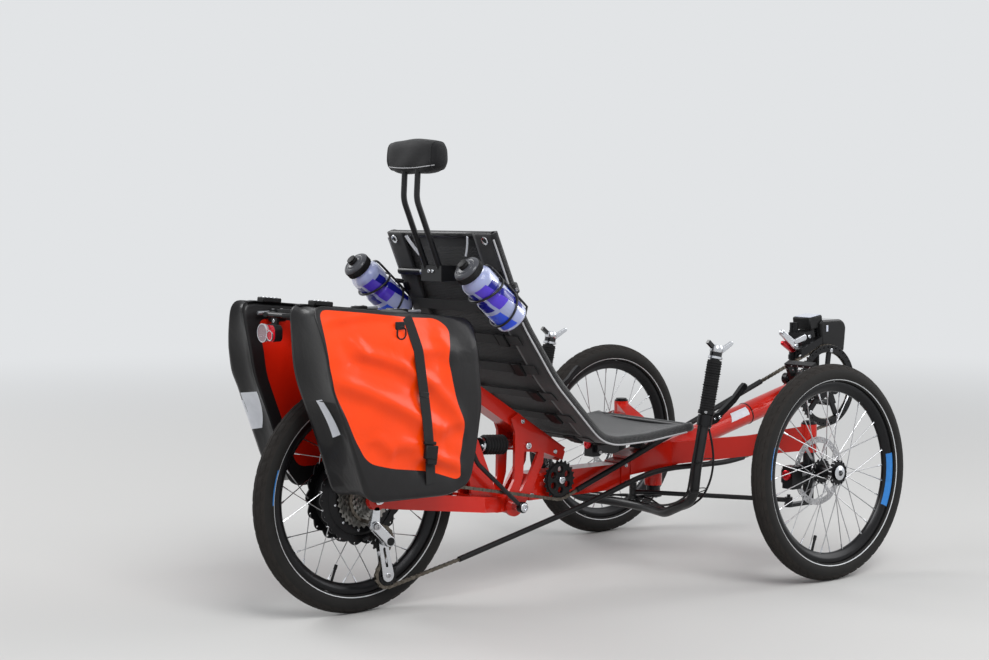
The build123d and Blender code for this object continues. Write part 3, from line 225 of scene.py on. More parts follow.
RED_PAINT = finish("red_paint", srgb(190, 24, 5), 0.3, coat=0.4, drift=0.06, patch=6)
BLACK_PAINT = finish("black_paint", srgb(18, 18, 20), 0.38, coat=0.25, drift=0.15, patch=30, grain=0.0001)
BLACK_ANODISED = finish("black_anodised", srgb(22, 22, 24), 0.3, metal=0.6, drift=0.2, patch=25)
SILVER = finish("polished_silver", srgb(208, 210, 214), 0.24, metal=1.0, drift=0.06, patch=60)
STEEL = finish("stainless_steel", srgb(176, 176, 178), 0.3, metal=1.0, drift=0.12, patch=80)
CHAIN_STEEL = finish("oiled_chain_steel", srgb(104, 98, 90), 0.42, metal=1.0, drift=0.35, patch=120)
COG_STEEL = finish("cog_steel", srgb(148, 146, 142), 0.36, metal=1.0, drift=0.25, patch=90)
TREAD = finish("tread_rubber", srgb(38, 35, 33), 0.82, drift=0.22, patch=22, grain=0.0002)
SIDEWALL = finish("sidewall_rubber", srgb(27, 26, 25), 0.7, drift=0.25, patch=35, grain=0.0001)
REFLEX = finish("reflective_line", srgb(196, 198, 200), 0.35, drift=0.08, patch=60)
BLUE_PATCH = finish("blue_patch", srgb(42, 118, 190), 0.4, coat=0.3, drift=0.08, patch=60)
PLASTIC = finish("black_plastic", srgb(20, 20, 21), 0.5, drift=0.15, patch=40, grain=0.00008)
GLOSS_BLACK = finish("gloss_black", srgb(16, 16, 18), 0.14, coat=0.6, drift=0.2, patch=30)
GRIP_RUBBER = finish("grip_rubber", srgb(20, 20, 21), 0.75, drift=0.2, patch=60, grain=0.0002)
HOSE_BLACK = finish("hose_black", srgb(24, 24, 25), 0.4, drift=0.15, patch=60)
print("finishes", len(bpy.data.materials))

# %% [markdown]
# A CAD piece keeps its exact shape and only changes its finish. The body's edges were made in CAD, so
# the metal pieces need nothing more than the right paint.

# %% Paint the CAD pieces
def paint(coat, *names):
    """Gives CAD pieces this finish alone."""
    for name in names:
        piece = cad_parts[name]
        piece.data.materials.clear()
        piece.data.materials.append(coat)


paint(RED_PAINT, "main_tube", "side_plates", "seat_rail", "front_beam", "boom", "swing_arm")
paint(RED_PAINT, "cross_arm_right", "cross_arm_left")
paint(SILVER, "pivot_bolts", "rear_axle")
paint(BLACK_PAINT, "seat_frame", "seat_bracket", "headrest_posts", "rack", "bottle_cages", "steering_bar")
paint(BLACK_PAINT, "tie_rod_right", "tie_rod_left", "knuckle_right", "knuckle_left")
paint(BLACK_ANODISED, "cranks", "caliper_right", "caliper_left", "front_derailleur")
paint(PLASTIC, "chain_tubes", "bottle_caps")
print("CAD pieces", len(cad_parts))

# %% [markdown]
# New pieces are built in mesh code. Each small helper gives a part as its points and faces, counted
# from the rear axle, and one maker joins the parts into a piece, moves it into the row frame and lets
# it ride on its body.

# %% One maker for every piece
def make(name, parts, coats, body, angle=40, replaces=()):
    """Joins parts into one piece; a part may name its coat by number in third place."""
    verts, faces, kinds = [], [], []
    for part in parts:
        start = len(verts)
        verts.extend(np.asarray(part[0], float).tolist())
        faces.extend([[start + i for i in face] for face in part[1]])
        kinds.extend([part[2] if len(part) > 2 else 0] * len(part[1]))
    mesh = bpy.data.meshes.new(name)
    mesh.from_pydata([(x - REAR, y, z) for x, y, z in verts], [], faces)
    for coat in coats if isinstance(coats, (list, tuple)) else [coats]:
        mesh.materials.append(coat)
    mesh.polygons.foreach_set("material_index", kinds)
    mesh.update()
    mesh.shade_smooth()
    mesh.set_sharp_from_angle(angle=radians(angle))
    piece = in_scene(name, mesh)
    if replaces:
        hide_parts(*replaces)
    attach(piece, body)
    return piece


print("meshes before the new pieces", len(bpy.data.meshes))


# %% Moving parts, faces and lines
def moved(part, matrix):
    """The part turned and shifted by a 4x4 matrix."""
    turn = np.array(matrix.to_3x3())
    points = np.asarray(part[0], float) @ turn.T + np.array(matrix.translation)
    faces = part[1] if np.linalg.det(turn) > 0 else [list(face)[::-1] for face in part[1]]
    return (points, faces, *part[2:])


def all_moved(parts, matrix):
    """All parts turned and shifted together."""
    return [moved(part, matrix) for part in parts]


def grid_faces(rows, columns):
    """Faces between points that lie row by row."""
    corners = [r * columns + c for r in range(rows - 1) for c in range(columns - 1)]
    return [[a, a + 1, a + columns + 1, a + columns] for a in corners]


def full_turn(count):
    """Evenly spaced angles round a full turn."""
    return np.linspace(0, 2 * pi, count, endpoint=False)


def distances(line):
    """How far along a line of points each one lies."""
    return np.concatenate([[0], np.cumsum(np.linalg.norm(np.diff(line, axis=0), axis=1))])


def points_at(line, wanted):
    """The points of a line at these distances along it."""
    along = distances(line)
    return np.stack([np.interp(wanted, along, axis) for axis in np.transpose(line)], axis=1)


print("a full turn in four", full_turn(4).round(2))


# %% Turned parts and tubes
def lathe(profile, steps=64, closed=False, coat=0):
    """Turns a profile of radius and y about the Y axis."""
    profile = np.asarray(profile, float)
    count = len(profile)
    angles = full_turn(steps)
    points = np.stack([
        np.outer(np.cos(angles), profile[:, 0]),
        np.tile(profile[:, 1], (steps, 1)),
        np.outer(np.sin(angles), profile[:, 0]),
    ], axis=-1).reshape(-1, 3)
    faces = []
    for i in range(steps):
        a, b = i * count, ((i + 1) % steps) * count
        for j in range(count if closed else count - 1):
            k = (j + 1) % count
            faces.append([a + j, b + j, b + k, a + k])
    return (points, faces, coat)


def turned_ring(bore, radius, half, edge, steps, coat=0):
    """A turned ring with chamfers, half its width each side of y 0."""
    profile = [(bore, -half), (radius, edge - half), (radius, half - edge), (bore, half)]
    return lathe(profile, steps, closed=True, coat=coat)


def tube(points, radius, sides=10, coat=0, closed=False):
    """A round tube along a line of points; radius is one number or one for each point."""
    line = np.asarray(points, float)
    count = len(line)
    radii = np.broadcast_to(np.asarray(radius, float), (count,))
    if closed:
        ahead = np.roll(line, -1, axis=0) - np.roll(line, 1, axis=0)
    else:
        ahead = np.gradient(line, axis=0)
    ahead /= np.linalg.norm(ahead, axis=1)[:, None]
    up = np.cross(ahead[0], (0.0, 0.0, 1.0))
    if np.linalg.norm(up) < 0.1:
        up = np.cross(ahead[0], (0.0, 1.0, 0.0))
    rings = []
    for i in range(count):
        up = up - ahead[i] * np.dot(up, ahead[i])
        up /= np.linalg.norm(up)
        side = np.cross(ahead[i], up)
        turn = full_turn(sides)
        rings.append(line[i] + radii[i] * (np.outer(np.cos(turn), up) + np.outer(np.sin(turn), side)))
    faces = []
    for i in range(count if closed else count - 1):
        a, b = i * sides, ((i + 1) % count) * sides
        for j in range(sides):
            k = (j + 1) % sides
            faces.append([a + j, a + k, b + k, b + j])
    if not closed:
        faces.append(list(range(sides))[::-1])
        faces.append([(count - 1) * sides + j for j in range(sides)])
    return (np.concatenate(rings), faces, coat)


print("faces of a short tube", len(tube([(0, 0, 0), (1, 0, 0)], 0.1)[1]))


# %% Flat plates and their outlines
def plate(loops, y0, y1, bevel=0.0, coat=0):
    """A flat plate from side-view loops of x and z; inner loops are holes."""
    low, high = min(y0, y1), max(y0, y1)
    curve = bpy.data.curves.new("cut", "CURVE")
    curve.dimensions = "2D"
    curve.fill_mode = "BOTH"
    curve.extrude = max((high - low) / 2 - bevel, 1e-5)
    curve.bevel_depth = bevel
    curve.bevel_resolution = 1
    curve.offset = -bevel
    for loop in loops:
        spline = curve.splines.new("POLY")
        spline.points.add(len(loop) - 1)
        for point, (x, z) in zip(spline.points, loop):
            point.co = (x, z, 0, 1)
        spline.use_cyclic_u = True
    cut = bpy.data.objects.new("cut", curve)
    mesh = bpy.data.meshes.new_from_object(cut)
    points = [(v.co.x, (low + high) / 2 - v.co.z, v.co.y) for v in mesh.vertices]
    faces = [list(p.vertices) for p in mesh.polygons]
    bpy.data.objects.remove(cut)
    bpy.data.curves.remove(curve)
    bpy.data.meshes.remove(mesh)
    return (np.array(points), faces, coat)


def ring_loop(x, z, radius, count=32):
    """A round outline."""
    return [(x + radius * cos(turn), z + radius * sin(turn)) for turn in full_turn(count)]


def circle_holes(circle_r, count, hole_r, sides, first=0.0):
    """Outlines of round holes that are evenly spaced round a circle."""
    return [ring_loop(circle_r * cos(turn), circle_r * sin(turn), hole_r, sides)
            for turn in full_turn(count) + first]


def polar_loop(corners, turn=0.0):
    """An outline through corners given as radius and angle."""
    return [(r * cos(turn + angle), r * sin(turn + angle)) for r, angle in corners]


def at_y(point, y):
    """A side-view point of x and z, at this y."""
    return Vector((point[0], y, point[1]))


print("points of a round outline", len(ring_loop(0, 0, 1)))


# %% Rods, bolts and bends
def tilt_to(direction):
    """A turn that lays the Y axis along a direction."""
    return Vector((0, 1, 0)).rotation_difference(Vector(direction)).to_matrix().to_4x4()


def placed(part, place, direction=(0, 1, 0)):
    """A part made about the Y axis at the origin, set at a place along a direction."""
    return moved(part, Matrix.Translation(Vector(place)) @ tilt_to(direction))


def rod(a, b, radius, sides=16, coat=0):
    """A round bar with small chamfers between two places."""
    a, b = Vector(a), Vector(b)
    length = (b - a).length
    edge = min(radius * 0.2, length * 0.2, 0.0008)
    profile = [(0, 0), (radius - edge, 0), (radius, edge), (radius, length - edge), (radius - edge, length),
               (0, length)]
    return placed(lathe(profile, sides, coat=coat), a, b - a)


def bolt(place, direction, radius, height, coat=0):
    """A round-headed socket bolt: head, chamfer and a six-sided hollow."""
    head = [(radius, 0), (radius, height * 0.7), (radius * 0.85, height), (radius * 0.55, height)]
    hollow = [(radius * 0.55, height), (radius * 0.5, height * 0.35), (0, height * 0.35)]
    return [placed(lathe(profile, steps, coat=coat), place, direction)
            for profile, steps in ((head, 20), (hollow, 6))]


def rounded(points, bends, step=0.008):
    """A line through points with a round bend at each inner one, as a bent tube has."""
    points = [Vector(p) for p in points]
    line = [points[0]]
    for before, corner, after, bend in zip(points, points[1:], points[2:], bends):
        u, v = (before - corner).normalized(), (after - corner).normalized()
        half = u.angle(v) / 2
        shorter = min((before - corner).length, (after - corner).length)
        reach = min(bend / max(sin(half), 1e-6) * cos(half), shorter * 0.5)
        count = max(3, int(reach * 2 / step))
        a, b = corner + u * reach, corner + v * reach
        for i in range(count + 1):
            t = i / count
            line.append(a * (1 - t) ** 2 + corner * 2 * t * (1 - t) + b * t ** 2)
    line.append(points[-1])
    return [p for i, p in enumerate(line) if i == 0 or (p - line[i - 1]).length > 1e-5]


print("parts of a bolt", len(bolt((0, 0, 0), (0, 1, 0), 0.004, 0.002)))

# %% [markdown]
# Each wheel has a 47 mm tyre on a deep black rim. The tyre is turned from its round section. Its tread
# is cut into that section: a rib in the middle, a groove each side and slanted blocks out to the
# shoulders. Cutting real relief shows at the wheel's edge, where a painted tread would look smooth.

# %% Tread and patches
TYRE_R, TYRE_W, RIM_R = 0.25, 0.047, 0.209
HALF_TYRE = TYRE_W / 2
SECTION = TYRE_R - HALF_TYRE
TYRE_STEPS = 416
# Degrees round the section from its crown: the tread's edge, and the reflective line
TREAD_EDGE, LINE_FROM, LINE_TO = 64, 119.5, 124.5


def tread_depth(step, reach):
    """How deep the tread is cut at a step round the tyre, this many degrees from its crown."""
    slant = (step + int(reach / 9)) % 8
    if 9 < reach < 14 or (14 <= reach < 58 and slant < 2) or 36 < reach < 40:
        return 0.0013
    return 0.0008 if 3 < reach <= 9 and step % 8 == 0 else 0.0


def tyre_patch(side):
    """A plain blue patch on one side wall."""
    lift = HALF_TYRE + 0.0003
    strip = []
    for i in range(13):
        angle = radians(160 + i * 1.6)
        for lean in (radians(108), radians(118)):
            r = SECTION + lift * cos(lean)
            strip.append((r * cos(angle), side * lift * sin(lean), r * sin(angle)))
    return (strip, [[2 * i, 2 * i + 2, 2 * i + 3, 2 * i + 1][::-side] for i in range(12)], 3)


print("tread steps", TYRE_STEPS, "of", round(2 * pi * TYRE_R / TYRE_STEPS * 1000, 2), "mm")


# %% Tyres
def tyre_parts(turn):
    """A tyre's tread, side walls, reflective lines and patches."""
    crown = np.linspace(-62, 62, 32)
    wall = np.array([66, 74, 82, 90, 98, 106, 114, 119.5, 124.5, 130, 136])
    lean = np.radians(np.concatenate([-wall[::-1], crown, wall]))
    degree = np.degrees(lean)
    depth = np.array([[tread_depth(i, abs(across)) for across in degree] for i in range(TYRE_STEPS)])
    angles = full_turn(TYRE_STEPS)
    radius = SECTION + (HALF_TYRE - depth) * np.cos(lean)
    points = np.stack([
        radius * np.cos(angles)[:, None],
        (HALF_TYRE - depth) * np.sin(lean),
        radius * np.sin(angles)[:, None],
    ], axis=-1).reshape(-1, 3)
    count = len(lean)
    tread, walls, lines = [], [], []
    for i in range(TYRE_STEPS):
        a, b = i * count, ((i + 1) % TYRE_STEPS) * count
        for j in range(count):
            k = (j + 1) % count
            middle = abs((degree[j] + degree[k]) / 2)
            kind = walls
            if k and middle < TREAD_EDGE:
                kind = tread
            elif k and LINE_FROM < middle < LINE_TO:
                kind = lines
            kind.append([a + j, b + j, b + k, a + k])
    patches = [tyre_patch(side) for side in (-1, 1)]
    return all_moved([(points, tread, 0), (points, walls, 1), (points, lines, 2)] + patches, turn)


# Place of a front wheel's middle, and how far the wheel leans out at its foot
FRONT_X, FRONT_Y, CAMBER = 1.05, 0.39, radians(2.0)


def wheel_turn(where):
    """Moves a part from the wheel's own middle to its place."""
    if where == "rear":
        return Matrix.Translation((0, 0, TYRE_R))
    side = RIGHT if where == "right" else LEFT
    lift = SECTION * cos(CAMBER) + HALF_TYRE
    return Matrix.Translation((FRONT_X, side * FRONT_Y, lift)) @ Matrix.Rotation(side * CAMBER, 4, "X")


WHEELS = {
    "rear": ("rear_wheel", "rear_tyre", "rear_rim", "rear_spokes"),
    "right": ("front_wheel_right", "tyre_right", "rim_right", "spokes_right"),
    "left": ("front_wheel_left", "tyre_left", "rim_left", "spokes_left"),
}
for where, (body, tyre, _, _) in WHEELS.items():
    made = make(f"{tyre}_treaded", tyre_parts(wheel_turn(where)), [TREAD, SIDEWALL, REFLEX, BLUE_PATCH],
                body, angle=28, replaces=[tyre])
print("tyre faces", len(made.data.polygons))

# %% [markdown]
# The rim is an aluminium extrusion bent into a hoop, so a turned profile is the right way to make it:
# a flat bed with two hooked edges and a deep V that ends in a narrow nose, where the spoke nipples sit.

# %% Rims
NOSE = RIM_R - 0.023
RIM_HALF = ((0.186, 0.002), (0.1865, 0.0036), (0.1895, 0.006), (0.1975, 0.0124), (0.201, 0.013),
            (0.2082, 0.013), (0.209, 0.0126), (0.2088, 0.0113))
RIM_PROFILE = [(r, -y) for r, y in RIM_HALF[::-1]] + [*RIM_HALF, (0.206, 0.01), (0.206, -0.01)]


def rim_patch(side):
    """A plain blue patch along one face of a front rim: 18 steps of 2 degrees."""
    points = []
    for i in range(19):
        angle = radians(2 * i - 28)
        for r, y in ((0.2076, 0.0132), (0.201, 0.0132), (0.1975, 0.0126), (0.1915, 0.008)):
            points.append((r * cos(angle), side * y, r * sin(angle)))
    corners = [4 * i + j for i in range(18) for j in range(3)]
    return (points, [[a, a + 4, a + 5, a + 1][::-side] for a in corners], 2)


VALVE_WAY = Vector((cos(radians(250)), 0, sin(radians(250))))
for where, (body, _, rim, _) in WHEELS.items():
    valve_top = VALVE_WAY * 0.162
    parts = [lathe(RIM_PROFILE, 160, closed=True), rod(VALVE_WAY * NOSE, valve_top, 0.003, 12, 1),
             rod(valve_top, valve_top * 0.93, 0.0038, 12, 1)]
    if where != "rear":
        parts += [rim_patch(side) for side in (-1, 1)]
    make(f"{rim}_hoop", all_moved(parts, wheel_turn(where)), [BLACK_ANODISED, PLASTIC, BLUE_PATCH], body,
         replaces=[rim])
print("rim width", 2 * max(y for _, y in RIM_HALF))

# %% [markdown]
# The spokes are laced as in the CAD wheel: eight of each of the four ways that a spoke can lie. Each is a
# round 2 mm wire with a nipple at the rim, and its elbow sits in the flange.

# %% Spokes
def laced(flange_r, flange_ys, flange_t, lead):
    """A wheel's spokes, from its two flanges' radius, places and thickness."""
    parts = []
    beside = flange_t / 2 + 0.0013
    # Flange, direction of the lean, and side of the flange, for each way that a spoke can lie
    ways = ((0, 1, 1), (1, 1, -1), (0, -1, -1), (1, -1, 1))
    for number, (flange, lean, lift) in enumerate(ways):
        for k in range(8):
            at_rim = radians((k + number / 4) * 45)
            at_hub = at_rim - lean * radians(lead)
            y = flange_ys[flange]
            hub = Vector((flange_r * cos(at_hub), y + lift * beside, flange_r * sin(at_hub)))
            end = Vector((NOSE * cos(at_rim), 0.002 if y > 0 else -0.002, NOSE * sin(at_rim)))
            way = (end - hub).normalized()
            parts.append(tube([hub, hub + way * 0.02, end], 0.0011, 6))
            nipple = [end - way * 0.013, end - way * 0.002, end]
            parts.append(tube(nipple, [0.0017, 0.0021, 0.0021], 6, 1))
            head = Vector((hub.x, y - lift * (flange_t / 2 + 0.0012), hub.z))
            parts.append(tube([hub, head], 0.0012, 6))
            parts.append(tube([head, head - Vector((0, lift * 0.0008, 0))], 0.0019, 8))
    return parts


for where, (body, _, _, spokes) in WHEELS.items():
    if where == "rear":
        parts = laced(0.1, (0.037, -0.017), 0.004, 22.5)
    else:
        parts = laced(0.027, (0.024, -0.024), 0.0036, 45)
    make(f"{spokes}_laced", all_moved(parts, wheel_turn(where)), [STEEL, SILVER], body,
         replaces=[spokes])
print("spokes per wheel", 32)

# %% [markdown]
# A front hub is a turned shell with two pierced flanges, and its outer end is closed by a polished cap.
# The brake disc is cut from 2 mm steel: a waved outer edge, two rows of holes and six arms.

# %% Front hubs and discs
def lobed(outer, inner, count, detail=6):
    """An outline with rounded lobes."""
    return polar_loop([(inner + (outer - inner) * (0.5 + 0.5 * cos(count * angle)) ** 0.6, angle)
                       for angle in full_turn(count * detail)])


def front_hub(side):
    """A front hub's shell, cap and two pierced flanges."""
    shell = [(0.0075, -0.0346), (0.0195, -0.0346), (0.02, -0.034), (0.0172, -0.0262), (0.017, -0.024),
             (0.015, -0.015), (0.014, 0.0), (0.015, 0.015), (0.017, 0.024), (0.0172, 0.0262),
             (0.0168, 0.029), (0.0165, 0.031)]
    cap = [(0.0165, 0.031), (0.015, 0.0318), (0.008, 0.0322), (0.007, 0.033), (0.0, 0.033)]
    parts = [lathe([(r, side * y) for r, y in profile], 48, coat=coat)
             for coat, profile in enumerate((shell, cap))]
    flange = [lobed(0.03, 0.0275, 16), ring_loop(0, 0, 0.013, 32)] + circle_holes(0.0255, 16, 0.0016, 8)
    for y in (-0.024, 0.024):
        parts.append(plate(flange, y - 0.0018, y + 0.0018, 0.0004))
    return parts


def disc_parts():
    """A brake disc: its pierced ring, its centre and its arms."""
    edge = polar_loop([(0.0795 + 0.0005 * cos(12 * angle), angle) for angle in full_turn(180)])
    holes = []
    for k in range(30):
        for r, shift in ((0.0755, 0), (0.0705, 6)):
            angle = radians(12 * k + shift)
            holes.append(ring_loop(r * cos(angle), r * sin(angle), 0.002, 8))
    ring = plate([edge, ring_loop(0, 0, 0.0655, 90)] + holes, -0.001, 0.001, 0.0002)
    centre = plate([ring_loop(0, 0, 0.0215, 40), ring_loop(0, 0, 0.0085, 24)], -0.001, 0.001, 0.0002)
    arm = [(0.0185, -0.2), (0.04, -0.02), (0.0675, 0.02), (0.0675, 0.15), (0.04, 0.18), (0.0185, 0.12)]
    arms = [plate([polar_loop(arm, radians(60 * k))], -0.0009, 0.0009, 0.0002) for k in range(6)]
    return [ring, centre] + arms


for side, where in SIDES:
    turn = wheel_turn(where)
    make(f"hub_{where}_shell", all_moved(front_hub(side), turn), [BLACK_ANODISED, SILVER],
         f"front_wheel_{where}", replaces=[f"hub_{where}"])
    inboard = turn @ Matrix.Translation((0, -side * 0.036, 0))
    disc_bolts = []
    for k in range(6):
        angle = radians(60 * k + 20)
        seat = (0.0155 * cos(angle), -side * 0.001, 0.0155 * sin(angle))
        disc_bolts += bolt(seat, (0, -side, 0), 0.0022, 0.0006, coat=1)
    made = make(f"rotor_{where}_cut", all_moved(disc_parts() + disc_bolts, inboard),
                [STEEL, SILVER], f"front_wheel_{where}", replaces=[f"rotor_{where}"])
print("disc faces", len(made.data.polygons))

# %% [markdown]
# The rear wheel is built round a hub motor. Its cover is a shallow drum with cooling ribs and a ring of
# small bolts, and two wide flanges with lobes carry the spokes.

# %% Hub motor
MOTOR = [
    (0.0061, -0.024), (0.03, -0.024), (0.031, -0.0232), (0.048, -0.0232), (0.049, -0.024),
    (0.074, -0.024), (0.0765, -0.0232), (0.084, -0.0165), (0.084, -0.01), (0.0828, -0.0095),
    (0.0828, -0.006), (0.084, -0.0055), (0.084, 0.025), (0.0828, 0.0255), (0.0828, 0.029),
    (0.084, 0.0295), (0.084, 0.0385), (0.0765, 0.0455), (0.074, 0.046), (0.049, 0.047),
    (0.035, 0.05), (0.03, 0.052), (0.025, 0.06), (0.024, 0.062), (0.0061, 0.062),
]
motor = [lathe(MOTOR, 96)]
flange = [lobed(0.1035, 0.0965, 18, 8), ring_loop(0, 0, 0.083, 72)] + circle_holes(0.0985, 18, 0.0022, 10)
for y in (-0.017, 0.037):
    motor.append(plate(flange, y - 0.002, y + 0.002, 0.0006))
for k in range(10):
    angle = radians(36 * k + 9)
    motor += bolt((0.066 * cos(angle), 0.0462, 0.066 * sin(angle)), (0, 1, 0), 0.0035, 0.0014, coat=1)
    motor += bolt((0.07 * cos(angle), -0.024, 0.07 * sin(angle)), (0, -1, 0), 0.003, 0.0012, coat=1)
at_axle = wheel_turn("rear")
make("hub_motor_drum", all_moved(motor, at_axle), [BLACK_ANODISED, SILVER], "rear_wheel",
     replaces=["hub_motor"])
print("motor parts", len(motor))

# %% Cogs
def toothed(root, tip, teeth):
    """A sprocket outline with sloped teeth."""
    flank = root + (tip - root) * 0.35
    corners = ((-0.5, root), (-0.26, flank), (-0.1, tip), (0.1, tip), (0.26, flank))
    return polar_loop([(r, 2 * pi * (k + turn) / teeth) for k in range(teeth) for turn, r in corners])


# Radius and number of teeth of each cog, the biggest beside the motor
COGS = ((0.066, 32), (0.06, 29), (0.054, 26), (0.0485, 24), (0.042, 21), (0.036, 18), (0.031, 15),
        (0.027, 13), (0.024, 12))
# Gap from one cog to the next, thickness of a cog, and radius of the core that they sit on
COG_STEP, COG_THICK, CORE_R = 0.00435, 0.0018, 0.0178
stack = [lathe([(0.0062, -0.0243), (0.0215, -0.0243), (0.0215, -0.0255), (CORE_R, -0.0258),
                (CORE_R, -0.0618), (0.012, -0.0628), (0.0062, -0.0628)], 40, coat=1)]
for k, (radius, teeth) in enumerate(COGS):
    y = -0.026 - k * COG_STEP
    inner = min(radius - 0.012, 0.04) if radius > 0.035 else CORE_R
    loops = [toothed(radius - 0.0045, radius, teeth), ring_loop(0, 0, inner, 40)]
    stack.append(plate(loops, y - COG_THICK, y, 0.0003))
    if inner > CORE_R:
        arm = [(0.017, -0.24), (inner + 0.003, -0.05), (inner + 0.003, 0.16), (0.017, 0.24)]
        for number in range(5):
            loop = polar_loop(arm, radians(72 * number + 14 * k))
            stack.append(plate([loop], y - COG_THICK, y, 0.0003, 1))
made = make("cassette_cogs", all_moved(stack, at_axle), [COG_STEEL, BLACK_ANODISED], "rear_wheel",
            replaces=["cassette"])
print("cogs", len(COGS), "faces", len(made.data.polygons))

# %% [markdown]
# Each bag is a roll-top pannier of glossy coated cloth: an orange front panel, black cloth for its
# gussets, bottom and borders, and on its back the orange darkened as painted shade. It is made as loops
# of points that grow from the middle of the front panel over the panel's edge, round the gusset and to
# the middle of the back. The colours change exactly on a loop, so the panel's wavy edge stays crisp, and
# creases are pushed into the loops by a few named ridges. A bag this stiff holds its folds, so the
# creases are sculpted in code.

# %% Cloth finishes
def coated_cloth(name, colour, rough, coat):
    """Woven cloth under a smooth coating: a faint weave, wrinkles and soft scuffs."""
    made = finish(name, colour, rough, coat=coat, drift=0.07, patch=9)
    tree = made.node_tree
    place = add_node(tree, "TexCoord", {}).outputs["Object"]
    wrinkle = add_node(tree, "TexNoise", {"Vector": place, "Scale": 14.0, "Detail": 6.0, "Distortion": 0.8})
    soft = add_node(tree, "Bump", {"Height": wrinkle.outputs["Fac"], "Distance": 0.006, "Strength": 0.35})
    weave = add_node(tree, "TexVoronoi", {"Vector": place, "Scale": 700.0})
    fine = add_node(tree, "Bump", {"Height": weave.outputs["Distance"], "Distance": 0.00012,
                                   "Strength": 0.35, "Normal": soft.outputs["Normal"]})
    feed(tree, tree.nodes["Principled BSDF"], "Normal", fine.outputs["Normal"])
    return made


ORANGE_CLOTH = coated_cloth("orange_coated_cloth", srgb(236, 64, 1), 0.32, 0.2)
# The bag's back is the orange cloth made darker, as painted shade
PAINTED_SHADE_ORANGE_CLOTH = coated_cloth("shaded_orange_cloth", srgb(196, 26, 3), 0.4, 0.1)
BLACK_CLOTH = coated_cloth("black_coated_cloth", srgb(26, 25, 26), 0.4, 0.12)
WEBBING = finish("black_webbing", srgb(24, 24, 25), 0.8, sheen=0.2, drift=0.15, patch=200, grain=0.0003,
                 fine=1200)
REFLECTIVE = finish("reflective_patch", srgb(214, 216, 222), 0.3, coat=0.2, drift=0.05, patch=60)
print("cloth finishes ready")

# %% [markdown]
# The bag's outline seen from the side is the CAD one with soft corners. The panel's edge inside it is
# straight at the top, wavy in front and cut back along the rear, as the photograph shows.

# %% Outlines of a bag
def even_loop(corners, count, soft):
    """A closed line through corners with soft turns, as evenly spaced points, from the first corner."""
    points = [at_y(corner, 0) for corner in corners]
    line = []
    for i, corner in enumerate(points):
        before, after = points[i - 1], points[(i + 1) % len(points)]
        reach = min(soft, (before - corner).length * 0.45, (after - corner).length * 0.45)
        a = corner + (before - corner).normalized() * reach
        b = corner + (after - corner).normalized() * reach
        for t in np.linspace(0, 1, 9):
            line.append(a * (1 - t) ** 2 + corner * 2 * t * (1 - t) + b * t ** 2)
    line.append(line[0])
    line = np.array([(p.x, p.z) for p in line])
    return points_at(line, np.linspace(0, distances(line)[-1], count, endpoint=False))


# Corners of the bag's side outline: x, z, from the top at the rear
BAG_OUTLINE = ((-0.222, 0.668), (0.16, 0.63), (0.176, 0.45), (0.146, 0.29), (0.094, 0.268),
               (-0.112, 0.27), (-0.156, 0.4), (-0.202, 0.52))
# Corners of the orange panel: x, z
PANEL_OUTLINE = ((-0.208, 0.66), (-0.1, 0.649), (0.0, 0.637), (0.066, 0.633), (0.094, 0.61),
                 (0.078, 0.556), (0.092, 0.496), (0.104, 0.453), (0.126, 0.408), (0.108, 0.335),
                 (0.118, 0.304), (0.105, 0.3), (0.04, 0.322), (-0.06, 0.337), (-0.116, 0.352),
                 (-0.144, 0.396), (-0.167, 0.449), (-0.2, 0.515), (-0.206, 0.56))
AROUND = 288
BAG_MIDDLE = np.array([-0.02, 0.47])
print("corners of the bag and its panel", len(BAG_OUTLINE), len(PANEL_OUTLINE))

# %% Creases
# From x, z, to x, z, height, width
CREASES = (
    (-0.2, 0.52, 0.06, 0.4, 0.0075, 0.016),
    (0.06, 0.4, 0.12, 0.412, 0.005, 0.014),
    (-0.15, 0.575, 0.04, 0.5, 0.007, 0.013),
    (0.02, 0.505, 0.115, 0.415, 0.006, 0.015),
    (-0.19, 0.632, -0.04, 0.64, 0.0055, 0.01),
    (-0.15, 0.6, -0.13, 0.56, 0.0045, 0.012),
    (-0.06, 0.38, 0.06, 0.35, 0.005, 0.016),
    (0.0, 0.35, 0.115, 0.32, 0.0065, 0.012),
    (-0.02, 0.56, 0.07, 0.565, 0.005, 0.014),
    (-0.11, 0.4, -0.06, 0.36, 0.0045, 0.014),
    (0.05, 0.6, 0.09, 0.54, 0.005, 0.014),
)


def crease_height(x, z, flip):
    """How far the cloth stands proud at a place, from all creases together."""
    height = 0.0
    for ax, az, bx, bz, tall, wide in CREASES:
        dx, dz = bx - ax, bz - az
        length = hypot(dx, dz)
        t = ((x - ax) * dx + (z - az) * dz) / length ** 2
        off = ((x - ax) * -dz + (z - az) * dx) / length + flip * 0.004
        bow = 0.006 * sin(pi * min(max(t, 0), 1))
        fade = max(0.0, min(1.0, (t + 0.12) / 0.25)) * max(0.0, min(1.0, (1.12 - t) / 0.25))
        ridge = np.exp(-((off - bow) / wide) ** 2)
        hollow = 0.7 * np.exp(-((off - bow + 1.7 * wide) / (1.6 * wide)) ** 2)
        height += tall * fade * (ridge - hollow)
    height += 0.0022 * sin(31 * x + 17 * z + flip) * sin(23 * z - 9 * x)
    return height


print("creases", len(CREASES))


# %% Loops of a bag
def by_angle(loop):
    """The loop's points at even angles round the bag's middle."""
    angle = np.unwrap(np.arctan2(loop[:, 1] - BAG_MIDDLE[1], loop[:, 0] - BAG_MIDDLE[0]))
    order = np.argsort(angle)
    three_turns = np.concatenate([angle[order] + turn for turn in (-2 * pi, 0, 2 * pi)])
    wanted = np.linspace(-pi, pi, AROUND, endpoint=False)
    even = [np.interp(wanted, three_turns, np.tile(loop[order, k], 3)) for k in (0, 1)]
    return np.stack(even, axis=1)


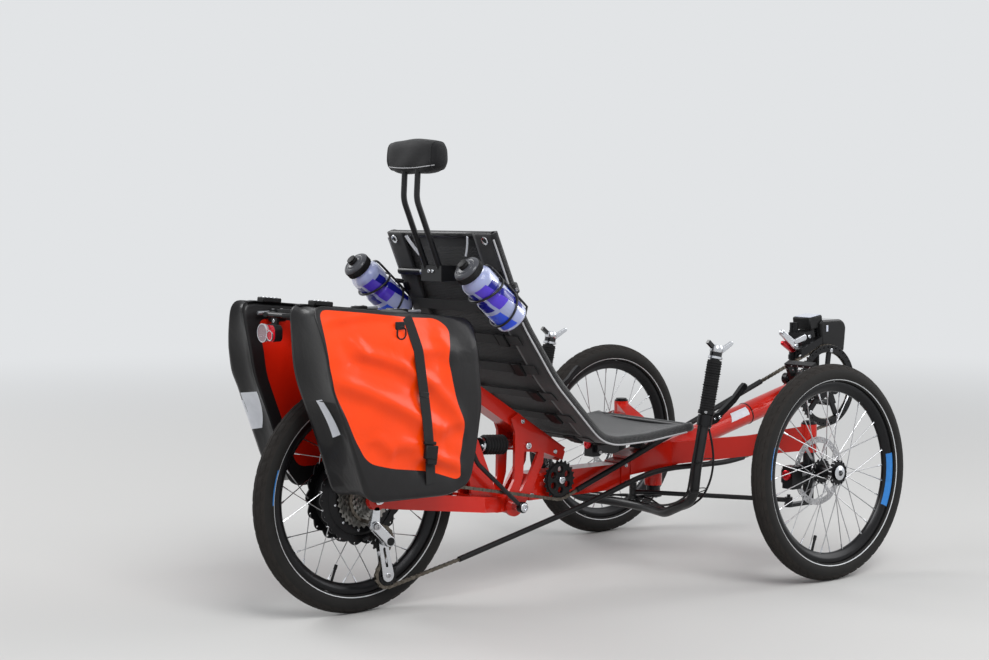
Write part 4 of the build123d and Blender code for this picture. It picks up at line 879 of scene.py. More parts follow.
def bag_loops(inner, outer):
    """Loops from the panel's middle to the back's: their points, y, share of the creases and kind."""
    outline = by_angle(even_loop(BAG_OUTLINE, AROUND, 0.028))
    panel = by_angle(even_loop(PANEL_OUTLINE, AROUND, 0.02))
    loops = []
    for share in [*np.linspace(0.03, 0.97, 30), 1.0]:
        loops.append((BAG_MIDDLE + (panel - BAG_MIDDLE) * share, outer, 1.0, "panel"))
    for share in np.linspace(0.12, 0.92, 6):
        loops.append((panel + (outline - panel) * share, outer, 1.0 - share * 0.5, "border"))
    for share in np.linspace(0.0, 1.0, 22):
        loops.append((outline, outer - (outer - inner) * share, 0.0, "gusset"))
    for kind, low, high, count in (("back_border", 0.94, 0.84, 3), ("back", 0.8, 0.03, 10)):
        for share in np.linspace(low, high, count):
            loops.append((BAG_MIDDLE + (outline - BAG_MIDDLE) * share, inner, 0.0, kind))
    return loops


print("loops of a bag", len(bag_loops(0, 1)))

# %% Depth of a bag
# How far the panel's edge is set in, how far the belly stands out, and how far the top leans in
SET_IN, BELLY, LEAN = 0.016, 0.014, 0.03


def bag_points(loops, side, inner, outer):
    """The loops given their depth: a round belly, creases in front and folds in the gusset."""
    points = []
    for flat, y, crease, kind in loops:
        for i, (x, z) in enumerate(flat):
            dx, dz = (x - BAG_MIDDLE[0]) / 0.19, (z - BAG_MIDDLE[1]) / 0.2
            belly = max(0.0, 1 - 0.5 * dx ** 2 - 0.5 * dz ** 2)
            top = max(0.0, min(1.0, (z - 0.56) / 0.1))
            lean = LEAN * top ** 1.5
            if kind in ("panel", "border"):
                y_there = y - SET_IN + BELLY * belly + crease * crease_height(x, z, side) - lean
            elif kind == "gusset":
                share = (outer - y) / (outer - inner)
                fold = sin(pi * share)
                inward = (-0.01 + 0.003 * sin(54 * z + 0.05 * i)) * fold
                away = np.array([x, z]) - BAG_MIDDLE
                away = away / np.linalg.norm(away)
                x, z = x + away[0] * inward, z + away[1] * inward * 0.5
                y_there = y - (SET_IN + lean) * (1 - share) + 0.012 * top * share
            else:
                y_there = y + 0.004 * belly + 0.012 * top
            points.append((x, side * y_there, z))
    return np.array(points)


def bag_mesh(side, inner, outer):
    """A bag as three parts: its panel, its black cloth and its back, which is orange darkened as painted
    shade.
    """
    loops = bag_loops(inner, outer)
    points = bag_points(loops, side, inner, outer)
    kinds = [kind for *_, kind in loops]
    panel, black, back = [], [], []
    for k in range(len(loops) - 1):
        cloth = panel if kinds[k + 1] == "panel" else back if kinds[k] == "back" else black
        for i in range(AROUND):
            j = (i + 1) % AROUND
            face = [k * AROUND + i, k * AROUND + j, (k + 1) * AROUND + j, (k + 1) * AROUND + i]
            cloth.append(face[::side])
    panel.append(list(range(AROUND))[::-side])
    last = (len(loops) - 1) * AROUND
    back.append([last + i for i in range(AROUND)][::side])
    return [(points, panel, 0), (points, black, 1), (points, back, 2)]


print("set in by", SET_IN, "m, belly", BELLY, "m")

# %% Bags
BAG_SPAN = {RIGHT: (0.083, 0.224), LEFT: (0.083, 0.182)}
for side, where in SIDES:
    inner, outer = BAG_SPAN[side]
    made = make(f"pannier_{where}_cloth", bag_mesh(side, inner, outer),
                [ORANGE_CLOTH, BLACK_CLOTH, PAINTED_SHADE_ORANGE_CLOTH], "frame", angle=180,
                replaces=[f"pannier_{where}"])
print("bag faces", len(made.data.polygons))

# %% [markdown]
# The seat is a strong mesh stretched round the frame's two side tubes and laced behind them with
# straps. Its line seen from the side is the CAD one, with the same bends. At each station of that line
# the cloth runs from a hem behind the right tube, round the tube, across the front with a slight sag,
# round the left tube and back to the other hem.

# %% Seat line
# Corners seen from the side: x, z, bend radius, half width
SEAT_CORNERS = ((0.828, 0.35, 0.0, 0.16), (0.69, 0.336, 0.15, 0.16), (0.56, 0.334, 0.13, 0.16),
                (0.396, 0.484, 0.26, 0.185), (0.3, 0.622, 0.4, 0.185), (0.222, 0.806, 0.0, 0.185))
TUBE_R = 0.008
MESH_THICK = 0.0022
WRAP = TUBE_R + MESH_THICK
HEM = 0.058
STATION_STEP = 0.008


def seat_stations():
    """Stations up the seat: place, direction to the rider, half width and distance along."""
    corners = [(x, 0, z) for x, z, *_ in SEAT_CORNERS]
    line = np.array(rounded(corners, [bend for _, _, bend, _ in SEAT_CORNERS[1:-1]], 0.004))
    along = distances(line)
    # From the back forward, because np.interp wants its x to grow
    corner_xs, corner_halves = zip(*[(x, half) for x, _, _, half in SEAT_CORNERS[::-1]])
    widths = np.interp(line[:, 0], corner_xs, corner_halves)
    wanted = np.linspace(0, along[-1], int(along[-1] / STATION_STEP))
    spots = points_at(line, wanted)
    ahead = np.gradient(spots, axis=0)
    ahead /= np.linalg.norm(ahead, axis=1)[:, None]
    toward = np.stack([ahead[:, 2], 0 * ahead[:, 0], -ahead[:, 0]], axis=1)
    return spots, toward, np.interp(wanted, along, widths), wanted


LINE_SPOTS, LINE_OUT, LINE_HALF, LINE_ALONG = seat_stations()
SEAT_LENGTH = float(LINE_ALONG[-1])
print("seat line", round(SEAT_LENGTH, 3), "m, stations", len(LINE_SPOTS))

# %% Cloth over the tubes
def sling_section(half, sag):
    """Points across the cloth: y and height over the tubes' plane."""
    right = [(-(half - HEM * (1 - t)), -WRAP) for t in np.linspace(0, 1, 7)]
    for t in np.linspace(0, 1, 9)[1:-1]:
        right.append((-half - WRAP * sin(pi * t), -WRAP * cos(pi * t)))
    across = []
    for t in np.linspace(-1, 1, 45):
        across.append((half * t, WRAP - sag * (1 - t * t) ** 0.8))
    left = [(-y, z) for y, z in right[::-1]]
    return right + across + left


def sling_points(sag):
    """The cloth's points, station by station."""
    points = []
    for place, out, half in zip(LINE_SPOTS, LINE_OUT, LINE_HALF):
        for y, up in sling_section(half, sag):
            points.append(place + out * up + np.array([0, y, 0]))
    return np.array(points)


SLING = sling_points(0.0125)
WIDE = len(SLING) // len(LINE_SPOTS)
print("cloth points", len(SLING), "with", WIDE, "across")

# %% [markdown]
# Seat mesh has a pattern of small round holes in staggered rows. The holes are drawn as relief and as
# near-black dots of painted shade, which reads as mesh up close and keeps the cloth light to render.

# %% Mesh finish
def mesh_cloth():
    """Black cloth with round holes as relief and as near-black dots of painted shade, drawn in the cloth's
    own plane.
    """
    made = finish("seat_mesh_cloth", srgb(20, 20, 22), 0.72, sheen=0.35, drift=0.12, patch=14)
    tree = made.node_tree
    shader = tree.nodes["Principled BSDF"]
    place = add_node(tree, "UVMap", {}).outputs["UV"]
    dots = tree.nodes.new("ShaderNodeTexVoronoi")
    dots.voronoi_dimensions = "2D"
    for name, value in (("Vector", place), ("Scale", 260.0), ("Randomness", 0.12)):
        feed(tree, dots, name, value)
    edge = {"Value": dots.outputs["Distance"], "From Min": 0.2, "From Max": 0.42}
    hole = add_node(tree, "MapRange", edge)
    hole.interpolation_type = "SMOOTHSTEP"
    relief = add_node(tree, "Bump", {"Height": hole.outputs["Result"], "Distance": 0.0012, "Strength": 0.9})
    feed(tree, shader, "Normal", relief.outputs["Normal"])
    shade = tree.nodes.new("ShaderNodeMix")
    shade.data_type = "RGBA"
    colour = shader.inputs["Base Color"].links[0].from_socket
    # The holes are painted near black as the shade inside them
    for name, value in (("Factor", hole.outputs["Result"]), ("A", (0.002, 0.002, 0.002, 1)), ("B", colour)):
        feed(tree, shade, name, value)
    feed(tree, shader, "Base Color", shade.outputs["Result"])
    return made


MESH_CLOTH = mesh_cloth()
HEM_CLOTH = finish("hem_cloth", srgb(20, 20, 22), 0.7, sheen=0.3, drift=0.15, patch=60, grain=0.0003,
                   fine=1500)
PIPING = finish("grey_piping", srgb(172, 172, 174), 0.45, drift=0.08, patch=80, grain=0.0001)
print("seat finishes ready")

# %% Seat mesh
mesh_piece = make("seat_mesh", [(SLING, grid_faces(len(LINE_SPOTS), WIDE))], [MESH_CLOTH, HEM_CLOTH],
                  "frame", angle=180, replaces=["seat_sling"])
uv = mesh_piece.data.uv_layers.new(name="cloth")
girth = distances(SLING[:WIDE])
for loop in mesh_piece.data.loops:
    row, column = divmod(loop.vertex_index, WIDE)
    uv.data[loop.index].uv = (girth[column], row * STATION_STEP)
for face in mesh_piece.data.polygons:
    row, column = divmod(face.index, WIDE - 1)
    if column < 6 or column > WIDE - 8 or row < 3 or row > len(LINE_SPOTS) - 6:
        face.material_index = 1
thick = mesh_piece.modifiers.new("cloth", "SOLIDIFY")
thick.thickness = MESH_THICK
thick.offset = -1.0

# %% [markdown]
# A light grey piping runs up each side where the mesh turns round the tube. Eight webbing straps with
# small buckles pull the hems together behind the back, and an eyelet sits at each top corner.

# %% Piping
def seat_point(along, y_share, up, y_extra=0.0):
    """A place on the seat: distance along the line, share of the half width, height over the plane."""
    p = np.array([np.interp(along, LINE_ALONG, LINE_SPOTS[:, k]) for k in range(3)])
    n = np.array([np.interp(along, LINE_ALONG, LINE_OUT[:, k]) for k in range(3)])
    half = np.interp(along, LINE_ALONG, LINE_HALF)
    return p + n / np.linalg.norm(n) * up + np.array([0, y_share * half + y_extra, 0])


parts = []
for side, _ in SIDES:
    y, up = side * (WRAP + 0.001) * cos(2.25), -(WRAP + 0.001) * sin(2.25)
    line = [seat_point(a, side, up, -y) for a in np.linspace(0.02, SEAT_LENGTH - 0.012, 90)]
    parts.append(tube(line, 0.0021, 8))
piping = make("seat_piping", parts, PIPING, "frame")
print("piping", round(SEAT_LENGTH - 0.032, 3), "m a side")

# %% Straps and blocks
def band(points, across, half_width, thick, coat=0):
    """A flat strap: a strip of points with a width along one direction and a small thickness."""
    line = np.asarray(points, float)
    across = np.asarray(across, float)
    ahead = np.gradient(line, axis=0)
    out = np.cross(ahead, across)
    out /= np.linalg.norm(out, axis=1)[:, None]
    rows = []
    for p, n in zip(line, out):
        for s, t in ((-1, -1), (1, -1), (1, 1), (-1, 1)):
            rows.append(p + across * half_width * s + n * thick / 2 * t)
    faces = []
    for i in range(len(line) - 1):
        for j in range(4):
            k = (j + 1) % 4
            faces.append([i * 4 + j, i * 4 + k, i * 4 + 4 + k, i * 4 + 4 + j])
    faces.append([3, 2, 1, 0])
    end = (len(line) - 1) * 4
    faces.append([end, end + 1, end + 2, end + 3])
    return (np.array(rows), faces, coat)


def block(centre, size, turn=None, bevel=0.0012, coat=0):
    """A small box with chamfered edges, turned by a matrix if one is given."""
    half = np.array(size) / 2
    shell = bmesh.new()
    for axis in range(3):
        for signs in np.ndindex(2, 2, 2):
            corner = (2 * np.array(signs) - 1) * (half - bevel)
            corner[axis] += np.sign(corner[axis]) * bevel
            shell.verts.new(corner)
    bmesh.ops.convex_hull(shell, input=shell.verts)
    shell.verts.ensure_lookup_table()
    shell.verts.index_update()
    verts = np.array([v.co[:] for v in shell.verts])
    faces = [[v.index for v in f.verts] for f in shell.faces]
    shell.free()
    turned = turn.to_4x4() if turn is not None else Matrix.Identity(4)
    return moved((verts, faces, coat), Matrix.Translation(Vector(centre)) @ turned)


print("strap and block ready")

# %% Seat straps and eyelets
straps = []
for along in np.linspace(0.12, SEAT_LENGTH - 0.17, 8):
    ahead = seat_point(along + 0.01, 0, 0) - seat_point(along - 0.01, 0, 0)
    ahead /= np.linalg.norm(ahead)
    half = seat_point(along, 1, 0)[1]
    reach = (half - 0.026) / half
    line = [seat_point(along, share, -WRAP - 0.0035) for share in np.linspace(-reach, reach, 12)]
    straps.append(band(line, ahead, 0.0125, 0.0018))
    back = -np.cross(ahead, (0, 1, 0))
    turn = Matrix((-ahead, (0, 1, 0), back)).transposed()
    centre = seat_point(along, -1, -WRAP - 0.006, 0.085)
    straps.append(block(centre, (0.034, 0.03, 0.007), turn, 0.0015, 1))
    straps.append(block(centre + np.array([0, 0.021, 0]), (0.03, 0.008, 0.005), turn, 0.001, 1))
strap_piece = make("seat_straps", straps, [WEBBING, PLASTIC], "frame")

eyelets = []
eyelet = lathe([(0.0052, 0), (0.0078, 0.0012), (0.0092, 0.0012), (0.0098, 0), (0.0085, -0.001),
                (0.006, -0.001)], 24, closed=True)
facing = seat_point(SEAT_LENGTH - 0.01, 0, 0) - seat_point(SEAT_LENGTH - 0.01, 0, 1)
for side, _ in SIDES:
    at = seat_point(SEAT_LENGTH - 0.014, side, -WRAP - 0.002, -side * 0.02)
    eyelets.append(placed(eyelet, at, facing))
make("seat_eyelets", eyelets, SILVER, "frame")
print("seat straps 8, eyelets", len(eyelets))

# %% [markdown]
# The headrest pad is foam in a stretch cover. It starts as a slightly small rounded block, is remeshed,
# and then cloth under a little air pressure swells it, with gravity off, and each point may move only
# so far. The cover's end seams and the pale piping behind are laid on the swollen form.

# %% Swelling a soft piece
def plain_object(name, points, faces):
    """A mesh object for work in between."""
    mesh = bpy.data.meshes.new(name)
    mesh.from_pydata([tuple(p) for p in points], [], faces)
    mesh.update()
    return in_scene(name, mesh)


def shown_form(obj):
    """The points and faces of an object with its modifiers applied."""
    graph = bpy.context.evaluated_depsgraph_get()
    mesh = bpy.data.meshes.new_from_object(obj.evaluated_get(graph))
    points = np.array([v.co[:] for v in mesh.vertices])
    faces = [list(p.vertices) for p in mesh.polygons]
    bpy.data.meshes.remove(mesh)
    return points, faces


def puffed(part, voxel=0.005, pressure=4.0, cap=0.012, frames=20):
    """The part remeshed and swollen by cloth simulation, as points and faces."""
    rough = plain_object("swelling", *part[:2])
    remesh = rough.modifiers.new("even", "REMESH")
    remesh.mode = "VOXEL"
    remesh.voxel_size = voxel
    points, faces = shown_form(rough)
    bpy.data.objects.remove(rough)
    soft = plain_object("swelling", points, faces)
    cloth = soft.modifiers.new("cover", "CLOTH").settings
    cloth.quality = 6
    cloth.mass = 0.3
    cloth.tension_stiffness = 20
    cloth.compression_stiffness = 20
    cloth.shear_stiffness = 8
    cloth.bending_stiffness = 1.0
    cloth.use_pressure = True
    cloth.uniform_pressure_force = pressure
    cloth.effector_weights.gravity = 0
    for step in range(1, frames + 1):
        bpy.context.scene.frame_set(step)
    moved_points, _ = shown_form(soft)
    bpy.data.objects.remove(soft)
    bpy.context.scene.frame_set(1)
    shift = moved_points - points
    shift -= shift.mean(axis=0)
    length = np.linalg.norm(shift, axis=1)
    share = np.minimum(1.0, cap / np.maximum(length, 1e-9))
    return points + shift * share[:, None], faces


print("simulation runs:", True)

# %% Headrest pad
PAD_CENTRE = np.array([0.16, 0.0, 0.968])
PAD_HALF = np.array([0.031, 0.1, 0.042])
COVER = finish("pad_cover", srgb(18, 18, 20), 0.7, sheen=0.12, drift=0.12, patch=20, grain=0.0004,
               fine=1600)


def rounded_block(half, power, rings=24, steps=48):
    """A closed form between a ball and a box; a higher power is more like a box."""
    def bend(value):
        """The value pushed outward, with its sign kept."""
        return np.sign(value) * abs(value) ** (2 / power)

    points, faces = [(0, -half[1], 0)], []
    for i in range(1, rings):
        rise = pi * i / rings - pi / 2
        for j in range(steps):
            turn = 2 * pi * j / steps
            points.append((half[0] * bend(cos(rise)) * bend(cos(turn)), half[1] * bend(sin(rise)),
                           half[2] * bend(cos(rise)) * bend(sin(turn))))
    points.append((0, half[1], 0))
    for j in range(steps):
        k = (j + 1) % steps
        faces.append([0, 1 + k, 1 + j])
        for i in range(rings - 2):
            a, b = 1 + i * steps, 1 + (i + 1) * steps
            faces.append([a + j, a + k, b + k, b + j])
        last = 1 + (rings - 2) * steps
        faces.append([last + j, last + k, len(points) - 1])
    return np.array(points), [face[::-1] for face in faces]


start, start_faces = rounded_block(PAD_HALF - 0.005, 3.4)
points, faces = puffed((start + PAD_CENTRE, start_faces))
rise = (points - PAD_CENTRE) / PAD_HALF
crease = 0.0011 * np.sin(70 * points[:, 1] + 3 * np.sin(40 * points[:, 2]))
points = points + rise * crease[:, None]
pad = make("headrest_cover", [(points, faces)], COVER, "frame", angle=180,
           replaces=["headrest_pad"])
smoother = pad.modifiers.new("smooth", "SUBSURF")
smoother.levels = smoother.render_levels = 1
low, high = points.min(axis=0), points.max(axis=0)
print("pad", [round(float(v), 3) for v in high - low])

# %% Seams and piping of the pad
SEAM_R = 0.0011
pad_tree = BVHTree.FromPolygons([tuple(p) for p in points], faces)
seams = []
for y in (-0.078, 0.078):
    loop = []
    for turn in full_turn(90):
        out = Vector((cos(turn), 0, sin(turn)))
        centre = Vector(PAD_CENTRE) + Vector((0, y, 0))
        hit = pad_tree.ray_cast(centre + out * 0.2, -out)[0]
        loop.append(hit + out * 0.0002)
    seams.append(tube(loop, SEAM_R, 6, closed=True))
make("headrest_seams", seams, HEM_CLOTH, "frame")
line = []
for y in np.linspace(-0.086, 0.086, 60):
    start = Vector(PAD_CENTRE) + Vector((-0.2, y, -0.025 + 0.005 * (y / 0.086) ** 2))
    line.append(pad_tree.ray_cast(start, Vector((1, 0, 0)))[0])
make("headrest_piping", [tube(line, SEAM_R, 6)], PIPING, "frame")
print("pad seams", len(seams))

# %% [markdown]
# Two bottles stand in wire cages beside the seat back. The body is a thin translucent squeeze bottle
# with blue and violet colour blocks; the cap has a ribbed black collar, a grey dome and a black valve.

# %% Bottle plastics
def clear_plastic(name, colour, clear):
    """Moulded plastic that lets some light through."""
    made = finish(name, colour, 0.22, coat=0.3, drift=0.05, patch=30, grain=0.00005)
    shader = made.node_tree.nodes["Principled BSDF"]
    feed(made.node_tree, shader, "Transmission Weight", clear)
    feed(made.node_tree, shader, "IOR", 1.3)
    return made


BOTTLE_CLEAR = clear_plastic("bottle_plastic", srgb(176, 184, 222), 0.35)
BOTTLE_BLUE = clear_plastic("bottle_blue", srgb(50, 82, 214), 0.12)
BOTTLE_VIOLET = clear_plastic("bottle_violet", srgb(84, 60, 196), 0.12)
BOTTLE_NIGHT = clear_plastic("bottle_dark_blue", srgb(22, 26, 128), 0.08)
CAP_GREY = finish("cap_grey", srgb(66, 67, 72), 0.32, coat=0.3, drift=0.1, patch=60)
BOTTLE_FOOT = {side: Vector((0.262, side * 0.205, 0.622)) for side, _ in SIDES}
BOTTLE_WAY = (Vector((0.128, 0, 0.742)) - Vector((0.262, 0, 0.622))).normalized()
# Colour blocks round the body: from and to in degrees, from and to in mm up the body, coat
BLOCKS = ((10, 62, 12, 70, 1), (70, 100, 20, 122, 3), (100, 150, 62, 128, 2), (155, 215, 10, 56, 1),
          (160, 205, 66, 124, 3), (222, 268, 30, 112, 2), (275, 330, 12, 60, 3), (290, 350, 70, 128, 1))
# Radians of turn for a metre of height
SLANT = 7.0
print("colour blocks", len(BLOCKS))


# %% Bottles
def bottle_body():
    """A bottle's body, with a part for each coat."""
    profile = [(0.0, 0.0), (0.029, 0.0), (0.0335, 0.0025), (0.0355, 0.006)]
    for z in np.arange(0.01, 0.131, 0.002):
        waist = 0.0036 * np.exp(-((z - 0.092) / 0.008) ** 4)
        ribs = 0.0006 * sin(2 * pi * z / 0.006) if 0.084 < z < 0.1 else 0.0
        profile.append((0.036 - waist + ribs, z))
    profile += [(0.0352, 0.134), (0.033, 0.139), (0.0298, 0.1435), (0.0285, 0.1455), (0.0285, 0.15),
                (0.0, 0.15)]
    steps = 120
    points, faces, _ = lathe(profile, steps)
    # A twist of the round form turns the blocks' sides into slants
    twist = SLANT * points[:, 1]
    x, z = points[:, 0].copy(), points[:, 2].copy()
    points[:, 0] = x * np.cos(twist) - z * np.sin(twist)
    points[:, 2] = x * np.sin(twist) + z * np.cos(twist)
    rows = len(profile) - 1
    heights = [z * 1000 for _, z in profile]
    coats = {0: [], 1: [], 2: [], 3: []}
    for number, face in enumerate(faces):
        turn = (number // rows) * 360 / steps
        height = heights[number % rows]
        coat = 0
        for start, end, low, high, block_coat in BLOCKS:
            if start <= turn < end and low <= height < high:
                coat = block_coat
        coats[coat].append(face)
    return [(points, faces, coat) for coat, faces in coats.items() if faces]


def bottle_cap():
    """A bottle's ribbed collar, dome and valve."""
    collar = polar_loop([(0.0308 if k % 2 else 0.0315, pi * k / 72) for k in range(144)])
    ribbed = plate([collar], 0.1503, 0.1655, 0.0006)
    dome = lathe([(0.0306, 0.1655), (0.03, 0.168), (0.0275, 0.1705), (0.023, 0.1722), (0.0215, 0.1712),
                  (0.02, 0.1712), (0.0185, 0.173), (0.013, 0.174), (0.0, 0.174)], 48, coat=1)
    valve = lathe([(0.011, 0.1735), (0.011, 0.179), (0.01, 0.18), (0.0085, 0.18), (0.0085, 0.1815),
                   (0.0105, 0.182), (0.0105, 0.1838), (0.009, 0.1845), (0.0, 0.1845)], 32)
    return [ribbed, dome, valve]


bodies, caps = [], []
for side, _ in SIDES:
    bodies += [placed(part, BOTTLE_FOOT[side], BOTTLE_WAY) for part in bottle_body()]
    caps += [placed(part, BOTTLE_FOOT[side], BOTTLE_WAY) for part in bottle_cap()]
make("bottle_bodies", bodies, [BOTTLE_CLEAR, BOTTLE_BLUE, BOTTLE_VIOLET, BOTTLE_NIGHT], "frame",
     angle=60, replaces=["bottles"])
make("bottle_tops", caps, [PLASTIC, CAP_GREY], "frame", replaces=["bottle_caps"])
print("bottles", len(BOTTLE_FOOT))

# %% [markdown]
# The cage is bent from one thick wire: two hoops round the bottle, a long loop along its back, and a
# foot that stops the bottle. A short stay and a clamp hold it to the seat's side tube.

# %% Bottle cages
WIRE_R = 0.0026
CAGE_R = 0.0392


def cage_wires(side):
    """A cage's hoops, loop, stay and clamp."""
    way = BOTTLE_WAY
    over = Vector((0, 1, 0))
    back = Vector((way.z, 0, -way.x))

    def at(turn, high, radius=CAGE_R):
        """A place round the bottle at a height."""
        return BOTTLE_FOOT[side] + way * high + (back * cos(turn) + over * sin(turn)) * radius

    wires = []
    for high, rise in ((0.036, 0.01), (0.098, -0.008)):
        ring = [at(t, high + rise * cos(t)) for t in full_turn(64)]
        wires.append(tube(ring, WIRE_R, 10, closed=True))
    loop = []
    for t in np.linspace(0, pi, 16):
        loop.append(at(0.42 * cos(t), 0.118 + 0.012 * sin(t), CAGE_R + 0.001))
    leg = [(0.42, high, CAGE_R + 0.001) for high in np.linspace(0.11, 0.002, 14)]
    leg += [(0.42 + 2.3 * sin(t), -0.004, 0.03 - 0.014 * t) for t in np.linspace(0.25, 0.75, 9)]
    loop += [at(-turn, high, radius) for turn, high, radius in leg]
    loop += [at(*place) for place in leg[::-1]]
    wires.append(tube(loop, WIRE_R, 10, closed=True))
    hold = BOTTLE_FOOT[side] + way * 0.06 + back * 0.043
    rail = Vector((0.272, side * 0.185, 0.69))
    wires.append(rod(hold, hold + (rail - hold) * 0.72, 0.005))
    near = int(np.argmin(np.linalg.norm(LINE_SPOTS - np.array([rail.x, 0, rail.z]), axis=1)))
    ahead = Vector(LINE_SPOTS[near + 1] - LINE_SPOTS[near - 1]).normalized()
    centre = Vector(LINE_SPOTS[near]) + Vector((0, side * LINE_HALF[near], 0))
    clamp = lathe([(0.0112, -0.011), (0.015, -0.01), (0.0155, -0.008), (0.0155, 0.008), (0.015, 0.01),
                   (0.0112, 0.011)], 32, closed=True)
    wires.append(placed(clamp, centre, ahead))
    wires += bolt(centre + Vector((0, side * 0.0145, 0)), (0, side, 0), 0.0042, 0.004, 1)
    return wires


make("cage_wires", cage_wires(RIGHT) + cage_wires(LEFT), [BLACK_PAINT, STEEL], "frame",
     replaces=["bottle_cages"])
print("cage wire", 2000 * WIRE_R, "mm thick")

# %% [markdown]
# The chain runs from the cogs under the idler, through a plastic tube to the chainring, and back through
# the lower tube and the two pulleys. Its line is worked out from the wheels that it wraps, as tangents
# and arcs, and links are laid along it at the real pitch of half an inch.

# %% Chain line
CHAIN_Y = -0.048
PITCH = 0.0127
AXLE = (0.0, 0.25)
BB = (1.42, 0.402)
IDLER = (0.522, 0.241)
PULLEY_UP, PULLEY_LOW = (0.03, 0.16), (0.044, 0.082)
COG_WRAP, RING_WRAP, IDLER_WRAP, PULLEY_WRAP = 0.048, 0.1028, 0.0451, 0.0271
RETURN_REAR, RETURN_FRONT = (0.236, 0.092), (1.12, 0.241)
POWER_TUBE = (0.575, 1.18)


def tangent(a, radius_a, b, radius_b):
    """Where a line touches two circles; a plus radius has its circle on the line's right hand."""
    dx, dz = b[0] - a[0], b[1] - a[1]
    gap = hypot(dx, dz)
    lean = pi / 2 + atan2(radius_b - radius_a, sqrt(gap ** 2 - (radius_b - radius_a) ** 2))
    angle = atan2(dz, dx) + lean
    return [(c[0] + r * cos(angle), c[1] + r * sin(angle)) for c, r in ((a, radius_a), (b, radius_b))]


def arc(centre, start, end, left=True):
    """Points round a wheel from start to end, turning left or right."""
    radius = hypot(start[0] - centre[0], start[1] - centre[1])
    a = atan2(start[1] - centre[1], start[0] - centre[0])
    b = atan2(end[1] - centre[1], end[0] - centre[0])
    span = (b - a) % (2 * pi) if left else -((a - b) % (2 * pi))
    return [(centre[0] + radius * cos(a + span * t), centre[1] + radius * sin(a + span * t))
            for t in np.linspace(0, 1, 40)]


def along_line(line, x):
    """The point of a straight run at this x."""
    (x0, z0), (x1, z1) = line
    return (x, z0 + (z1 - z0) * (x - x0) / (x1 - x0))


top_rear = tangent(AXLE, COG_WRAP, IDLER, -IDLER_WRAP)
top_front = tangent(IDLER, -IDLER_WRAP, BB, RING_WRAP)
wrap = tangent(AXLE, -COG_WRAP, PULLEY_UP, PULLEY_WRAP)
down = tangent(PULLEY_UP, PULLEY_WRAP, PULLEY_LOW, -PULLEY_WRAP)
back = tangent(PULLEY_LOW, -PULLEY_WRAP, RETURN_REAR, 0.0)
front = tangent(RETURN_FRONT, 0.0, BB, -RING_WRAP)
rear_run = [along_line(top_front, POWER_TUBE[0]), top_front[0]]
rear_run += arc(IDLER, top_front[0], top_rear[1], left=False)
rear_run += arc(AXLE, top_rear[0], wrap[0])
rear_run += arc(PULLEY_UP, wrap[1], down[0], left=False)
rear_run += arc(PULLEY_LOW, down[1], back[0])
rear_run += [back[1]]
ring_arc = arc(BB, top_front[1], front[1], left=False)
print("rear run, points", len(rear_run))

# %% One link
PLATE_R = 0.0041


def plate_outline(waist):
    """A chain plate seen from the side: two round ends and a waist."""
    loop = []
    for end in (1, -1):
        for turn in np.linspace(-70, 70, 7):
            angle = radians(turn if end > 0 else turn + 180)
            loop.append((end * PITCH / 2 + PLATE_R * cos(angle), PLATE_R * sin(angle)))
        loop.append((0.0, end * waist))
    return loop


def link(outer):
    """One link about its own middle: two plates and, on an inner link, two rollers."""
    if outer:
        near, far, waist, steps = 0.0027, 0.0035, 0.0028, 8
        profile = [(0, -0.0037), (0.0016, -0.0037), (0.0016, 0.0037), (0, 0.0037)]
    else:
        near, far, waist, steps = 0.0017, 0.0025, 0.0033, 10
        profile = [(0.0017, -0.0017), (0.0038, -0.0016), (0.0038, 0.0016), (0.0017, 0.0017)]
    parts = [plate([plate_outline(waist)], side * near, side * far) for side in (-1, 1)]
    for end in (-1, 1):
        parts.append(placed(lathe(profile, steps), (end * PITCH / 2, 0, 0)))
    verts, faces = [], []
    for part in parts:
        faces.extend([[len(verts) + i for i in face] for face in part[1]])
        verts.extend(part[0].tolist())
    return (np.array(verts), faces)


LINKS = (link(False), link(True))
print("faces of an inner and an outer link", [len(faces) for _, faces in LINKS])

# %% Chain
def even_steps(line, step):
    """Points along a line at a step apart, with both ends."""
    length = distances(line)[-1]
    return points_at(line, np.linspace(0, length, int(round(length / step)) + 1))


RING_TEETH = 52
front_run = [along_line(top_front, POWER_TUBE[1]), top_front[1]]
laid = []
for run, step in ((rear_run, PITCH), (front_run, PITCH), (ring_arc, 2 * pi * RING_WRAP / RING_TEETH),
                  ([front[1], front[0]], PITCH)):
    spots = even_steps(run, step)
    if run is ring_arc:
        middle = spots[len(spots) // 2 - 1:len(spots) // 2 + 1].mean(axis=0)
        tooth_turn = atan2(middle[1] - BB[1], middle[0] - BB[0])
    for a, b in zip(spots, spots[1:]):
        stretch = hypot(*(b - a)) / PITCH
        turn = atan2(b[1] - a[1], b[0] - a[0])
        points, faces = LINKS[len(laid) % 2]
        x = points[:, 0] * stretch
        placed_x = (a[0] + b[0]) / 2 + x * cos(turn) - points[:, 2] * sin(turn)
        placed_z = (a[1] + b[1]) / 2 + x * sin(turn) + points[:, 2] * cos(turn)
        laid.append((np.stack([placed_x, CHAIN_Y + points[:, 1], placed_z], axis=1), faces))
make("chain_links", laid, CHAIN_STEEL, "frame", replaces=["chain"])
print("links", len(laid), "triangles", sum(len(f) - 2 for _, faces in laid for f in faces))

# %% [markdown]
# The sprockets are cut as flat toothed plates. The chainring has a five-armed spider with silver bolts
# and a black guard, and the idler and the pulleys are black plastic with bolts in their middles.

# %% Chainring
def turned_loop(loop, turn):
    """An outline turned about the origin."""
    return [(x * cos(turn) - z * sin(turn), x * sin(turn) + z * cos(turn)) for x, z in loop]


def spider_arm(inner, outer, wide, narrow):
    """An arm's outline, narrower outside."""
    return [(inner, -wide), (outer * 0.55, -narrow), (outer, -narrow * 1.05), (outer, narrow * 1.05),
            (outer * 0.55, narrow), (inner, wide)]


